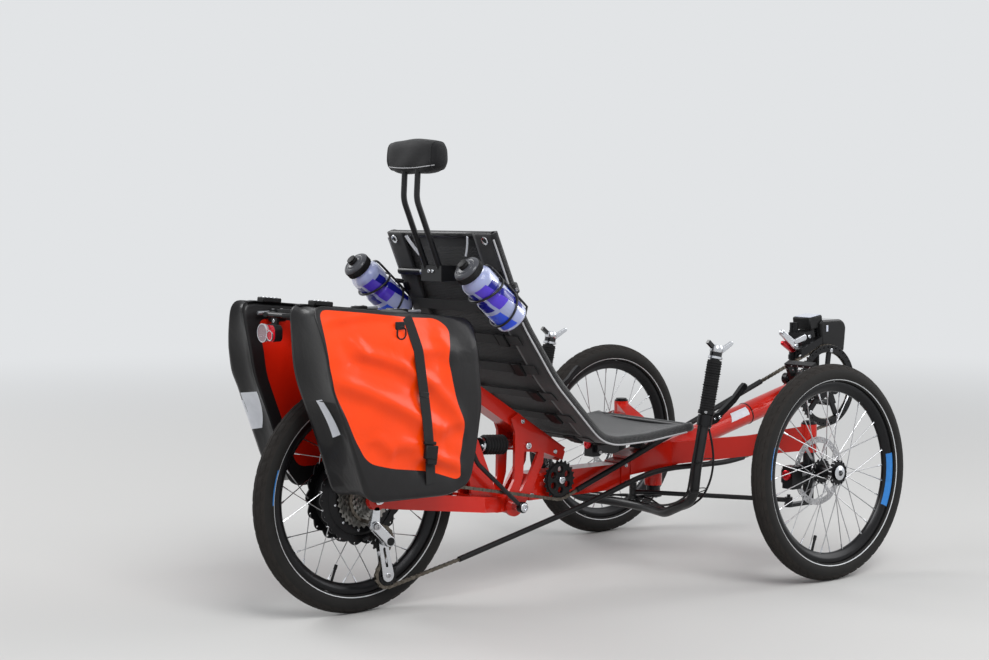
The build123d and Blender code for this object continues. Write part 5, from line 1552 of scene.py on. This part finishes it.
def disc_at(loops, centre, y0, y1, bevel=0.0004, coat=0):
    """A flat plate round a side-view centre, y counted from the chain's middle."""
    return moved(plate(loops, CHAIN_Y + y0, CHAIN_Y + y1, bevel, coat), Matrix.Translation(at_y(centre, 0)))


RING_BOLT_R = 0.091
teeth = turned_loop(toothed(0.0975, 0.1045, RING_TEETH), tooth_turn)
ring = [disc_at([teeth, ring_loop(0, 0, 0.0845, 80)], BB, -0.0011, 0.0011)]
guard = [ring_loop(0, 0, 0.105, 96), ring_loop(0, 0, 0.087, 80)] + circle_holes(0.0985, 40, 0.0024, 10)
ring.append(disc_at(guard, BB, -0.008, -0.0055, 0.0006, 1))
core = [ring_loop(0, 0, 0.0255, 48), ring_loop(0, 0, 0.0114, 32)]
ring.append(disc_at(core, BB, -0.0035, 0.0035, 0.0008, 1))
for k in range(5):
    turn = radians(72 * k + 10)
    arm = turned_loop(spider_arm(0.0235, 0.0895, 0.0105, 0.007), turn)
    ring.append(disc_at([arm], BB, -0.0032, 0.0032, 0.001, 1))
    seat = (BB[0] + RING_BOLT_R * cos(turn), BB[1] + RING_BOLT_R * sin(turn))
    ring.append(rod(at_y(seat, CHAIN_Y - 0.006), at_y(seat, CHAIN_Y + 0.003), 0.0048, 20, 2))
    ring += bolt(at_y(seat, CHAIN_Y - 0.008), (0, -1, 0), 0.0052, 0.0016, 2)
make("chainring_cut", ring, [COG_STEEL, BLACK_ANODISED, SILVER], "cranks",
     replaces=["chainring"])
print("chainring teeth", RING_TEETH)

# %% Idler
holes = [ring_loop(0, 0, 0.0075, 24)] + circle_holes(0.0235, 6, 0.0078, 20, radians(30))
wheel = [disc_at([toothed(0.04, 0.0455, 22)] + holes, IDLER, -0.0012, 0.0012),
         disc_at([ring_loop(0, 0, 0.0385, 64)] + holes, IDLER, -0.005, 0.005, 0.001),
         rod(at_y(IDLER, CHAIN_Y - 0.009), at_y(IDLER, -0.0272), 0.0074, 24, 1)]
wheel += bolt(at_y(IDLER, CHAIN_Y - 0.009), (0, -1, 0), 0.0085, 0.0035, 1)
make("idler_wheel", wheel, [PLASTIC, SILVER], "frame", replaces=["idler"])
print("idler parts", len(wheel))


def capsule(a, b, ra, rb, count=14):
    """A side-view outline that wraps two circles."""
    dx, dz = b[0] - a[0], b[1] - a[1]
    heading = atan2(dz, dx)
    lean = acos((ra - rb) / hypot(dx, dz))
    loop = []
    for t in np.linspace(-lean, lean, count):
        loop.append((b[0] + rb * cos(heading + t), b[1] + rb * sin(heading + t)))
    for t in np.linspace(lean, 2 * pi - lean, count):
        loop.append((a[0] + ra * cos(heading + t), a[1] + ra * sin(heading + t)))
    return loop

# %% [markdown]
# The rear derailleur hangs below the axle: a bright cage of two cut plates with two toothed pulleys, a
# round knuckle with a black cap, and a parallelogram link up to its hanger.

# %% Rear derailleur
# Half the gap between the cage plates, and their thickness
GAP, CAGE_PLATE = 0.005, 0.002
# The pin under the hanger, and the hanger's top
HANGER_PIN, HANGER_TOP = (-0.006, 0.196), (-0.002, 0.228)
CAGE_OUT, CAGE_IN = CHAIN_Y - GAP - CAGE_PLATE, CHAIN_Y + GAP
slot = capsule((0.0335, 0.14), (0.0405, 0.102), 0.0028, 0.0028, 8)
cage = [capsule(PULLEY_UP, PULLEY_LOW, 0.0105, 0.014), slot]
unit = [plate(cage, y, y + CAGE_PLATE, 0.0005) for y in (CAGE_OUT, CAGE_IN)]
bore = [ring_loop(0, 0, 0.004, 16)] + circle_holes(0.0135, 6, 0.0032, 12)
for centre in (PULLEY_UP, PULLEY_LOW):
    unit += [disc_at([toothed(0.022, 0.027, 13)] + bore, centre, -0.0012, 0.0012, 0.0003, 1),
             disc_at([ring_loop(0, 0, 0.0205, 40)] + bore, centre, -0.0025, 0.0025, 0.0006, 1),
             rod(at_y(centre, CAGE_OUT), at_y(centre, CAGE_IN + CAGE_PLATE), 0.0039, 16, 2)]
barrel = lathe([(0, 0), (0.0108, 0), (0.012, 0.0015), (0.012, 0.0125), (0.0112, 0.0132), (0.0112, 0.015),
                (0.012, 0.0157), (0.012, 0.0275), (0.01, 0.0287), (0, 0.0287)], 40)
outer_link, middle_link = (capsule(PULLEY_UP, HANGER_PIN, r + 0.0005, r) for r in (0.01, 0.009))
unit += [*bolt(at_y(PULLEY_LOW, CAGE_OUT), (0, -1, 0), 0.0055, 0.002, 2),
         placed(barrel, at_y(PULLEY_UP, -0.0838)),
         rod(at_y(PULLEY_UP, -0.0862), at_y(PULLEY_UP, -0.0838), 0.0085, 24, 1),
         plate([outer_link], -0.084, -0.0795, 0.0012),
         plate([middle_link], -0.0785, -0.0715, 0.001, 1),
         plate([outer_link], -0.0705, -0.066, 0.0012),
         plate([capsule(HANGER_PIN, HANGER_TOP, 0.011, 0.009)], -0.08, -0.068, 0.0012),
         rod(at_y(HANGER_PIN, -0.086), at_y(HANGER_PIN, -0.0655), 0.0062, 20, 2),
         *bolt(at_y(HANGER_PIN, -0.086), (0, -1, 0), 0.0075, 0.003, 2),
         rod((-0.02, -0.0765, 0.176), (-0.034, -0.0765, 0.17), 0.0035, 16, 1)]
make("rear_derailleur_unit", unit, [SILVER, PLASTIC, STEEL], "frame",
     replaces=["rear_derailleur"])
print("derailleur parts", len(unit))

# %% [markdown]
# Small fittings are laid on a surface by casting rays at it, so that a strap follows the folds of a bag
# and a label follows a round tube. Straps, hooks, rails, buckles and rings finish the bags.

# %% Laying things on a surface
ORIGIN = Vector((REAR, 0, 0))


def search_tree(name):
    """A search tree of a piece in the scene."""
    return BVHTree.FromObject(bpy.data.objects[name], bpy.context.evaluated_depsgraph_get())


def skin(tree, start, way, lift):
    """Where a ray meets a surface, lifted off it; the start itself if it meets nothing."""
    way = Vector(way).normalized()
    start = Vector(start)
    hit = tree.ray_cast(start - ORIGIN, way)[0]
    return (hit + ORIGIN if hit else start) - way * lift


def label(tree, corners, way, lift=0.0006, count=10, coat=0):
    """A thin patch between four corners, laid on a surface."""
    a, b, c, d = (Vector(corner) for corner in corners)
    points = []
    for i in range(count + 1):
        for j in range(count + 1):
            s, t = i / count, j / count
            start = (a * (1 - s) + b * s) * (1 - t) + (d * (1 - s) + c * s) * t
            points.append(tuple(skin(tree, start - Vector(way) * 0.1, way, lift)))
    return (np.array(points), grid_faces(count + 1, count + 1), coat)


def taut(points, side, step=0.006):
    """A tight strap over a bag: it touches the outer hull of a line and runs straight between."""
    kept = []
    for p in points:
        while len(kept) > 1:
            u, v = kept[-1] - kept[-2], p - kept[-1]
            if side * (u.y * v.z - u.z * v.y) < 0:
                break
            kept.pop()
        kept.append(p)
    line = [kept[0]]
    for a, b in zip(kept, kept[1:]):
        count = max(1, int((b - a).length / step))
        line += [a.lerp(b, (i + 1) / count) for i in range(count)]
    line = np.array([tuple(p) for p in line])
    for _ in range(4):
        line[1:-1] = (line[:-2] + 2 * line[1:-1] + line[2:]) / 4
    return line


print("surface helpers ready")

# %% Straps, buckles and patches of the bags
# The strap's lean along the bag in radians, and its direction across
STRAP_LEAN = 0.13
STRAP_ACROSS = np.array([0.992, 0, 0.127])
DOWN = (0, 0, -1)
# Blocks on the strap: height, lift, size, bevel, coat
BUCKLE = ((0.366, 0.004, (0.031, 0.01, 0.028), 0.002, 1), (0.345, 0.004, (0.025, 0.009, 0.016), 0.002, 1),
          (0.385, 0.003, (0.03, 0.007, 0.007), 0.0015, 1), (0.48, 0.0012, (0.0235, 0.003, 0.01), 0.001, 0))
fittings = []
for side, where in SIDES:
    tree = search_tree(f"pannier_{where}_cloth")
    inner, outer = BAG_SPAN[side]
    inward = (0, -side, 0)
    line = [skin(tree, (-0.009, side * y, 0.9), DOWN, 0.0018)
            for y in np.linspace(inner + 0.02, outer - 0.045, 12)]
    line += [skin(tree, (-0.006 + (0.628 - z) * STRAP_LEAN, side * 0.4, z), inward, 0.0018)
             for z in np.linspace(0.642, 0.298, 70)]
    strap = taut(line, side)
    fittings.append(band(strap, STRAP_ACROSS, 0.0112, 0.0018))

    def on_strap(z, lift):
        """The place on the strap's outer side at a height, lifted off it."""
        near = strap[np.argmin(np.abs(strap[:, 2] - z))]
        return Vector(near) + Vector((0, side * lift, 0))

    for z, lift, size, bevel, coat in BUCKLE:
        fittings.append(block(on_strap(z, lift), size, Matrix.Rotation(STRAP_LEAN, 3, "Y"), bevel, coat))
    loop_at = skin(tree, (-0.031, side * 0.4, 0.622), inward, 0.003)
    fittings.append(block(loop_at, (0.022, 0.004, 0.016), None, 0.001))
    ring_at = skin(tree, (-0.033, side * 0.4, 0.606), inward, 0.004)
    shape = [(0.0105 * cos(t), 0, 0.0105 * sin(t) + (0.004 if sin(t) > 0 else 0)) for t in full_turn(32)]
    fittings.append(placed(tube(shape, 0.0016, 8, 1, closed=True), ring_at))
    patch = ((-0.19, side * 0.124, 0.474), (-0.19, side * 0.146, 0.478), (-0.17, side * 0.168, 0.408),
             (-0.17, side * 0.134, 0.398))
    if side == LEFT:
        patch = ((-0.19, 0.174, 0.466), (-0.19, 0.104, 0.474), (-0.17, 0.14, 0.392), (-0.17, 0.174, 0.386))
    fittings.append(label(tree, patch[::side], (1, 0, 0), coat=2))
    front_patch = ((0.3, side * 0.105, 0.47), (0.3, side * (outer - 0.03), 0.47),
                   (0.3, side * (outer - 0.03), 0.395), (0.3, side * 0.12, 0.395))
    fittings.append(label(tree, front_patch[::-side], (-1, 0, 0), coat=2))
    top_y = side * (inner + 0.016)
    top = [tuple(skin(tree, (x, top_y, 0.9), DOWN, 0.0016)) for x in np.linspace(-0.205, 0.135, 24)]
    fittings.append(band(top, (0, 1.0, 0), 0.01, 0.0022))
    clip = skin(tree, (-0.15, top_y, 0.9), DOWN, 0.006)
    fittings.append(block(clip, (0.044, 0.028, 0.01), Matrix.Rotation(0.1, 3, "Y"), 0.002, 1))
    for k in range(4):
        rib = clip + Vector((-0.014 + 0.009 * k, 0, 0.0056 - 0.0009 * (k - 1)))
        fittings.append(block(rib, (0.0035, 0.02, 0.0018), None, 0.0006, 3))
make("bag_fittings", fittings, [WEBBING, PLASTIC, REFLECTIVE, SILVER], "frame")
print("bag fittings", len(fittings))

# %% Hooks and rails of the bags
RAIL_GREY = finish("rail_grey", srgb(150, 152, 156), 0.4, metal=0.8, drift=0.1, patch=60)
hooks = []
for side, _ in SIDES:
    hooks.append(rod((-0.19, side * 0.08, 0.6405), (0.11, side * 0.08, 0.6405), 0.0042, 16, 1))
    for x in (-0.145, 0.06):
        hooks.append(block((x, side * 0.076, 0.634), (0.036, 0.018, 0.026), None, 0.0025))
        z = 0.64 - 0.01 * (x + 0.17) / 0.32
        hooks.append(placed(turned_ring(0.0056, 0.009, 0.016, 0, 24), (x, side * 0.055, z), (1, 0, -0.03)))
        hooks.append(block((x, side * 0.0655, z + 0.001), (0.03, 0.008, 0.014), None, 0.0015))
        for shift in (-0.01, 0.01):
            hooks += bolt((x + shift, side * 0.076, 0.6465), (0, 0, 1), 0.0032, 0.0018, 2)
make("bag_hooks", hooks, [PLASTIC, RAIL_GREY, STEEL], "frame")
print("hook parts", len(hooks))

# %% [markdown]
# The bar's ends carry ribbed rubber grips, two-finger brake levers and bar-end shifters with a bright
# cap and lever. All of it turns with the bar, so these pieces ride on the steering body.

# %% Grips, levers and shifters
GRIP_FOOT, GRIP_TOP = Vector((0.736, 0, 0.345)), Vector((0.775, 0, 0.519))
GRIP_WAY = (GRIP_TOP - GRIP_FOOT).normalized()
GRIP_Y, LOCK_Z = 0.29, 0.3995


def on_grip(z, side, radius=0.0, turn=0.0):
    """A place on the grip's axis, or at a radius round it; turn 0 faces ahead."""
    base = GRIP_FOOT + GRIP_WAY * (z - GRIP_FOOT.z) / GRIP_WAY.z + Vector((0, side * GRIP_Y, 0))
    ahead = Vector((GRIP_WAY.z, 0, -GRIP_WAY.x))
    return base + (ahead * cos(turn) + Vector((0, side, 0)) * sin(turn)) * radius


# Bolts of the lever and shifter: x, y, z, radius, height
LEVER_BOLTS = ((0.779, 0.2945, 0.53, 0.0055, 0.003), (0.783, 0.2985, 0.3875, 0.0042, 0.002),
               (0.7675, 0.2985, 0.385, 0.003, 0.0015))
rubber, bright = [], []
for side, _ in SIDES:
    for number, z in enumerate(np.linspace(0.404, 0.51, 20)):
        tall = 0.0172 if number % 5 else 0.0182
        rubber.append(placed(turned_ring(0.0155, tall, 0.0016, 0.0007, 28), on_grip(z, side), GRIP_WAY))
    lock = turned_ring(0.0155, 0.0188, 0.004, 0.0005, 28, 1)
    rubber.append(placed(lock, on_grip(LOCK_Z, side), GRIP_WAY))
    out = on_grip(LOCK_Z, side, 1, 2.4) - on_grip(LOCK_Z, side)
    rubber += bolt(on_grip(LOCK_Z, side, 0.0183, 2.4), out, 0.003, 0.0015, 2)
    cap = lathe([(0, 0), (0.0135, 0), (0.015, 0.002), (0.015, 0.012), (0.012, 0.0165), (0, 0.0175)], 32)
    bright.append(placed(cap, on_grip(0.5335, side), GRIP_WAY))
    bright.append(placed(turned_ring(0.0142, 0.0164, 0.003, 0.0005, 32), on_grip(0.522, side), GRIP_WAY))
    arm = capsule((0.779, 0.53), (0.826, 0.552), 0.0075, 0.0048, 10)
    bright.append(plate([arm], side * 0.2865, side * 0.2935, 0.0015))
    for x, y, z, radius, height in LEVER_BOLTS:
        bright += bolt((x, side * y, z), (0, side, 0), radius, height)
    nut = lathe([(0, 0), (0.0045, 0), (0.0055, 0.002), (0.0055, 0.009), (0.004, 0.011), (0, 0.011)], 6)
    bright.append(placed(nut, (0.756, side * GRIP_Y, 0.374), (0.1, 0, -1)))
    pad_line = [(0.816 + t * 0.044, side * GRIP_Y, 0.4085 + t * 0.037) for t in np.linspace(0, 1, 8)]
    rubber.append(tube(pad_line, 0.0054, 12, 1))
make("grip_ribs", rubber, [GRIP_RUBBER, BLACK_ANODISED, STEEL], "steering")
make("control_silver", bright, SILVER, "steering")
paint(GRIP_RUBBER, "grips")
paint(BLACK_ANODISED, "brake_levers")
paint(GLOSS_BLACK, "shifters")
paint(HOSE_BLACK, "bar_cables")
print("rubber parts", len(rubber), "bright parts", len(bright))

# %% Cable ties and steering bolts
ties = []
for side, _ in SIDES:
    for x, y, z in ((0.744, 0.286, 0.29), (0.74, 0.269, 0.221)):
        loop = [(x + 0.0275 * cos(t) - 0.001, side * y + 0.0155 * sin(t), z + 0.004 * cos(t))
                for t in full_turn(28)]
        ties.append(tube(loop, 0.0012, 6, closed=True))
        ties.append(block((x - 0.026, side * (y + 0.006), z), (0.006, 0.005, 0.004), None, 0.0008))
make("cable_ties", ties, PLASTIC, "steering")
bar_bits = []
for x, y in ((0.851, 0.0), (0.869, 0.0), (0.86, 0.01), (0.86, -0.01)):
    bar_bits += bolt((x, y, 0.164), (0, 0, -1), 0.0042, 0.0035)
bar_bits += bolt((0.794, 0.0, 0.207), (0, 0, 1), 0.0058, 0.004)
bar_bits += bolt((0.794, 0.0, 0.164), (0, 0, -1), 0.0062, 0.004)
make("steering_bolts", bar_bits, STEEL, "steering")
print("cable ties", len(ties) // 2)

# %% [markdown]
# The cranks get bright end bolts and a milled groove, and each pedal gets grip pins and an end cap.
# The front derailleur has a bright arm over a red link beside its black post.

# %% Cranks and pedals
CRANK = 0.17
CRANK_TURN = {RIGHT: radians(170), LEFT: radians(350)}
bits = []
for side, where in SIDES:
    turn = CRANK_TURN[side]
    way = Vector((cos(turn), 0, sin(turn)))
    axle = at_y(BB, 0)
    end = axle + way * CRANK
    face = Vector((0, side * 0.077, 0))
    cap = lathe([(0, 0), (0.0125, 0), (0.0125, 0.002), (0.0105, 0.0032), (0.006, 0.0032), (0.006, 0.001),
                 (0, 0.001)], 32)
    bits.append(placed(cap, axle + face, (0, side, 0)))
    foot, tip = tuple((axle + way * 0.034).xz), tuple((axle + way * 0.14).xz)
    inset, groove = capsule(foot, tip, 0.0072, 0.0052, 10), capsule(foot, tip, 0.006, 0.004, 10)
    bits.append(plate([inset, groove], face.y, face.y + side * 0.0008, 0.0002, 1))
    eye = lathe([(0.0068, 0), (0.0105, 0), (0.0105, 0.0012), (0.0068, 0.0012)], 28, closed=True)
    bits.append(placed(eye, end + face, (0, side, 0)))
    centre = end + Vector((0, side * 0.13, 0))
    tilt = Matrix.Translation(centre) @ Matrix.Rotation(radians(65), 4, "Y")
    tread = []
    for u in (-0.044, -0.0335, 0.0335, 0.044):
        for v in (-0.04, -0.02, 0.0, 0.02, 0.04):
            for up in (-1, 1):
                tread.append(rod((u, v, up * 0.0088), (u, v, up * 0.0118), 0.0017, 8, 1))
    end_cap = lathe([(0, 0), (0.0095, 0), (0.0105, 0.002), (0.0085, 0.006), (0, 0.007)], 24)
    tread.append(placed(end_cap, (0, side * 0.045, 0), (0, side, 0)))
    make(f"pedal_{where}_details", all_moved(tread, tilt), [PLASTIC, STEEL], f"pedal_{where}")
make("crank_details", bits, [SILVER, BLACK_PAINT], "cranks")
paint(BLACK_ANODISED, "pedal_right", "pedal_left")
print("pedal parts", len(tread))

# %% Front derailleur
RED_ANODISED = finish("red_anodised", srgb(196, 16, 30), 0.25, metal=0.7, coat=0.3, drift=0.08, patch=60)
# The bright arm, the red link, the bright cage link, and two collars round the black post
shifting = [plate([capsule((1.268, 0.544), (1.318, 0.508), 0.0075, 0.0095, 10)], -0.0395, -0.032, 0.0015),
            plate([capsule((1.286, 0.516), (1.318, 0.502), 0.006, 0.011, 10)], -0.031, -0.02, 0.0015, 1),
            plate([capsule((1.316, 0.519), (1.348, 0.528), 0.006, 0.008, 10)], -0.0415, -0.034, 0.0012),
            rod((1.352, 0, 0.5), (1.352, 0, 0.512), 0.015, 28, 2),
            rod((1.352, 0, 0.47), (1.352, 0, 0.482), 0.014, 28, 2)]
shifting += bolt((1.318, -0.0395, 0.508), (0, -1, 0), 0.0055, 0.0025)
shifting += bolt((1.268, -0.0395, 0.544), (0, -1, 0), 0.0045, 0.0025)
shifting += bolt((1.366, -0.04, 0.53), (0, -1, 0), 0.005, 0.0025)
make("front_derailleur_arm", shifting, [SILVER, RED_ANODISED, BLACK_ANODISED], "frame")
print("derailleur parts", len(shifting))

# %% [markdown]
# The lamps keep their CAD shells. Their lenses are told apart by the place of each face, and get a
# glassy finish with a moulded pattern and a bright rim. The head lamp has a tilted block whose pale top
# is a painted highlight.

# %% Lenses of the lamps
def coat_where(name, coats, pick):
    """Gives each face of a CAD piece the coat that its middle and direction pick."""
    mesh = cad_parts[name].data
    mesh.materials.clear()
    for coat in coats:
        mesh.materials.append(coat)
    for face in mesh.polygons:
        x, y, z = face.center
        face.material_index = pick(x + REAR, y, z, face.normal)


LENS = clear_plastic("clear_lens", srgb(178, 152, 158), 0.3)
RED_LENS = clear_plastic("red_lens", srgb(226, 22, 46), 0.15)
for glass in (LENS, RED_LENS):
    tree = glass.node_tree
    place = add_node(tree, "TexCoord", {}).outputs["Object"]
    cells = add_node(tree, "TexVoronoi", {"Vector": place, "Scale": 420.0})
    relief = add_node(tree, "Bump", {"Height": cells.outputs["Distance"], "Distance": 0.0012})
    feed(tree, tree.nodes["Principled BSDF"], "Normal", relief.outputs["Normal"])
# A pale finish for the highlights painted on the head lamp's top and side
PAINTED_HIGHLIGHT_PALE = finish("painted_highlight_pale", srgb(196, 200, 212), 0.2, coat=0.5, drift=0.06, patch=40)
# Middle of the tail lamp's round lens and of the head lamp, as y and z
TAIL_EYE, HEAD_EYE = (0.009, 0.604), (0, 0.521)


def tail_coat(x, y, z, normal):
    """0 for the housing, 1 for the round lens, 2 for the red one."""
    if x > -0.2149:
        return 0
    return 1 if hypot(y - TAIL_EYE[0], z - TAIL_EYE[1]) < 0.0187 and y > -0.0085 else 2


def head_coat(x, y, z, normal):
    """0 for the housing, 1 for the lens, 2 for the gloss top and back."""
    if x > 1.5105 and hypot(y, z - HEAD_EYE[1]) < 0.0275:
        return 1
    return 2 if normal.z > 0.5 or x < 1.411 else 0


coat_where("tail_lamp", [PLASTIC, LENS, RED_LENS], tail_coat)
coat_where("head_lamp", [PLASTIC, LENS, GLOSS_BLACK], head_coat)
print("lamp lenses painted")

# %% Rims, painted highlights and bolts of the lamps
lamps = []
for x, y, z, radius in ((-0.2207, *TAIL_EYE, 0.0188), (-0.2197, -0.018, 0.6, 0.0103)):
    inside, outside = radius - 0.0012, radius + 0.0006
    rim = [(inside, -0.0012), (outside, -0.0012), (outside, 0.0015), (inside, 0.0015)]
    lamps.append(placed(lathe(rim, 40, closed=True), (x, y, z), (1, 0, 0)))
rim = lathe([(0.0262, -0.0015), (0.0285, -0.0015), (0.0285, 0.0025), (0.0262, 0.0025)], 56, closed=True)
lamps.append(placed(rim, (1.5135, *HEAD_EYE), (1, 0, 0)))
tilt = Matrix.Rotation(radians(-8), 3, "Y")
# A black block on the head lamp: a thin pale plate on its top and a pale strip on its side are painted
# highlights
lamps.append(block((1.404, 0, 0.564), (0.05, 0.06, 0.032), tilt, 0.003, 1))
lamps.append(block((1.4025, 0, 0.5805), (0.042, 0.052, 0.003), tilt, 0.001, 2))
lamps.append(block((1.436, -0.0385, 0.548), (0.007, 0.001, 0.016), None, 0.0003, 2))
for y in (-0.0382, 0.0382):
    lamps += bolt((1.432, y, 0.503), (0, y, 0), 0.0042, 0.002)
lamps += bolt((-0.1985, 0, 0.628), (-1, 0, 0), 0.0038, 0.002)
make("lamp_details", lamps, [SILVER, PLASTIC, PAINTED_HIGHLIGHT_PALE], "frame")
print("lamp parts", len(lamps))

# %% [markdown]
# The shock is a black air can with a ribbed bellows between two bright eyes. The headrest clamp has two
# bright bolts and a bright stub of tube beside it. The rest of this step is the frame's hardware: bolts,
# clamp rings and plain patches.

# %% Shock
REAR_EYE, FRONT_EYE = (0.288, 0.334), (0.439, 0.324)
rear_eye, front_eye = at_y(REAR_EYE, 0), at_y(FRONT_EYE, 0)
shock_way = (front_eye - rear_eye).normalized()
RIB_STEP = 0.0083
profile = [(0.0184, 0.05)]
for k in range(7):
    start = 0.0515 + k * RIB_STEP
    profile += [(0.0186, start), (0.0222, start + 0.0025), (0.0226, start + 0.0042),
                (0.0222, start + 0.0059), (0.0186, start + RIB_STEP)]
profile.append((0.0184, 0.1105))
bellows = [placed(lathe(profile, 56), rear_eye, shock_way)]
for at, radius, wide in ((0.026, 0.0168, 0.004), (0.045, 0.017, 0.005), (0.114, 0.0138, 0.005)):
    collar = turned_ring(radius - 0.001, radius, wide / 2, 0, 48, 1)
    bellows.append(placed(collar, rear_eye + shock_way * at, shock_way))
valve = rear_eye + shock_way * 0.034 + Vector((0, -0.0155, 0))
bellows.append(rod(valve, valve + Vector((0, -0.009, 0)), 0.0035, 16, 1))
RUBBER = finish("bellows_rubber", srgb(26, 26, 27), 0.6, drift=0.2, patch=80, grain=0.0001)
make("shock_bellows", bellows, [RUBBER, SILVER], "frame")


def shock_coat(x, y, z, normal):
    """0 for the bright eyes, 2 for the can between them."""
    along = (Vector((x, y, z)) - rear_eye).dot(shock_way)
    return 2 if 0.0105 <= along <= 0.1085 else 0


coat_where("shock", [SILVER, RUBBER, BLACK_ANODISED], shock_coat)
print("shock", round((front_eye - rear_eye).length, 4), "m between its eyes")

# %% Seat bolts and loops
seat_bits = []
for y in (-0.0065, 0.0065):
    seat_bits += bolt((0.1975, y, 0.7215), (-1, 0, 0), 0.0042, 0.003)
stub = lathe([(0.0081, 0), (0.0092, 0.001), (0.0092, 0.058), (0.0075, 0.061), (0.0, 0.0615)], 28)
seat_bits.append(placed(stub, (0.245, 0.038, 0.7165), (0, 1, 0)))
for side, _ in SIDES:
    for x, z in ((0.823, 0.33), (0.815, 0.3)):
        seat_bits += bolt((x, side * 0.02, z), (0, side, 0), 0.0052, 0.003)
    seat_bits += bolt((0.22, side * 0.03, 0.7215), (-0.6, 0, 0.8), 0.0036, 0.003)
make("seat_bolts", seat_bits, SILVER, "frame")
loops = []
for side, _ in SIDES:
    line = [seat_point(SEAT_LENGTH - s, 0, -WRAP - 0.004, side * y) for s, y in
            ((0.004, 0.112), (0.02, 0.104), (0.036, 0.094), (0.05, 0.083))]
    loops.append(band(line, np.array([0.25, -side * 0.93, 0.25]), 0.0042, 0.0014))
make("reflective_loops", loops, REFLECTIVE, "frame")
print("seat bolt parts", len(seat_bits))

# %% Bolts and rings of the frame
BOOM_TILT, BOOM_SLOPE, BOOM_BORE = radians(13.9), 0.2475, 0.0271
SWING_PIVOT, DROPOUT_BOLT = (0.403, 0.191), (-0.014, 0.274)
KINGPIN_TOP = ((0.01, 0), (0.0175, 0), (0.0175, 0.003), (0.014, 0.0045), (0.01, 0.0045))
# Round-headed bolts on both sides: x, z, y, radius, height
BOLTS = ((*SWING_PIVOT, 0.0672, 0.01, 0.004), (*FRONT_EYE, 0.038, 0.0078, 0.004),
         (*REAR_EYE, 0.029, 0.0078, 0.004), (0.452, 0.21, 0.035, 0.0052, 0.0028),
         (0.49, 0.24, 0.035, 0.0052, 0.0028), (0.52, 0.304, 0.035, 0.0052, 0.0028),
         (0.425, 0.38, 0.035, 0.0052, 0.0028), (0.743, 0.212, 0.03, 0.0048, 0.003),
         (0.743, 0.252, 0.03, 0.0048, 0.003), (*DROPOUT_BOLT, 0.0815, 0.006, 0.0035))


def boom_z(x):
    """Height of the boom's axis."""
    return BB[1] - (BB[0] - x) * BOOM_SLOPE


silver, black = [], []
for side, _ in SIDES:
    for x, z, y, radius, height in BOLTS:
        silver += bolt((x, side * y, z), (0, side, 0), radius, height)
    for x in (0.925, 0.958):
        silver += bolt((x, side * 0.032, boom_z(x) - 0.034), (0, side, 0), 0.0052, 0.003)
    black.append(rod(at_y(SWING_PIVOT, side * 0.0548), at_y(SWING_PIVOT, side * 0.0672), 0.0125, 28))
    black.append(rod(at_y(DROPOUT_BOLT, side * 0.07), at_y(DROPOUT_BOLT, side * 0.0815), 0.0095, 24))
    black.append(placed(lathe(KINGPIN_TOP, 32, closed=True), (FRONT_X, side * 0.325, 0.3552), (0, 0, 1)))
boom_way = Vector((cos(BOOM_TILT), 0, sin(BOOM_TILT)))
for x, radius, half in ((0.9785, 0.03, 0.004), (1.176, 0.0282, 0.002), (1.352, 0.03, 0.011)):
    ring = turned_ring(BOOM_BORE, radius, half, 0.001, 56)
    black.append(placed(ring, (x, 0, boom_z(x)), boom_way))
make("frame_bolts", silver, SILVER, "frame")
make("frame_rings", black, BLACK_ANODISED, "frame")
print("frame bolt parts", len(silver), "rings and pins", len(black))

# %% Patches of the boom and knobs of the brakes
boom_tree = search_tree("boom")
patches = []
for side, _ in SIDES:
    way = (0, -side, 0)
    corners = ((1.1, 0, 0.327), (1.164, 0, 0.343), (1.16, 0, 0.361), (1.106, 0, 0.3475))
    patches.append(label(boom_tree, corners[::side], way, 0.0005))
make("boom_patches", patches, REFLECTIVE, "frame")
KNOB = ((0, 0), (0.0105, 0), (0.0115, 0.0008), (0.0115, 0.006), (0.0095, 0.0075), (0.005, 0.0075),
        (0.005, 0.005), (0, 0.005))
for side, where in SIDES:
    parts = [placed(lathe(KNOB, 24), (0.955, side * 0.3468, 0.246), (-1, 0, 0))]
    for z in (0.226, 0.256):
        parts += bolt((0.972, side * 0.319, z), (0, -side, 0), 0.0045, 0.003, 1)
    make(f"caliper_{where}_knob", parts, [RED_ANODISED, STEEL], f"knuckle_{where}")
print("boom patches", len(patches))
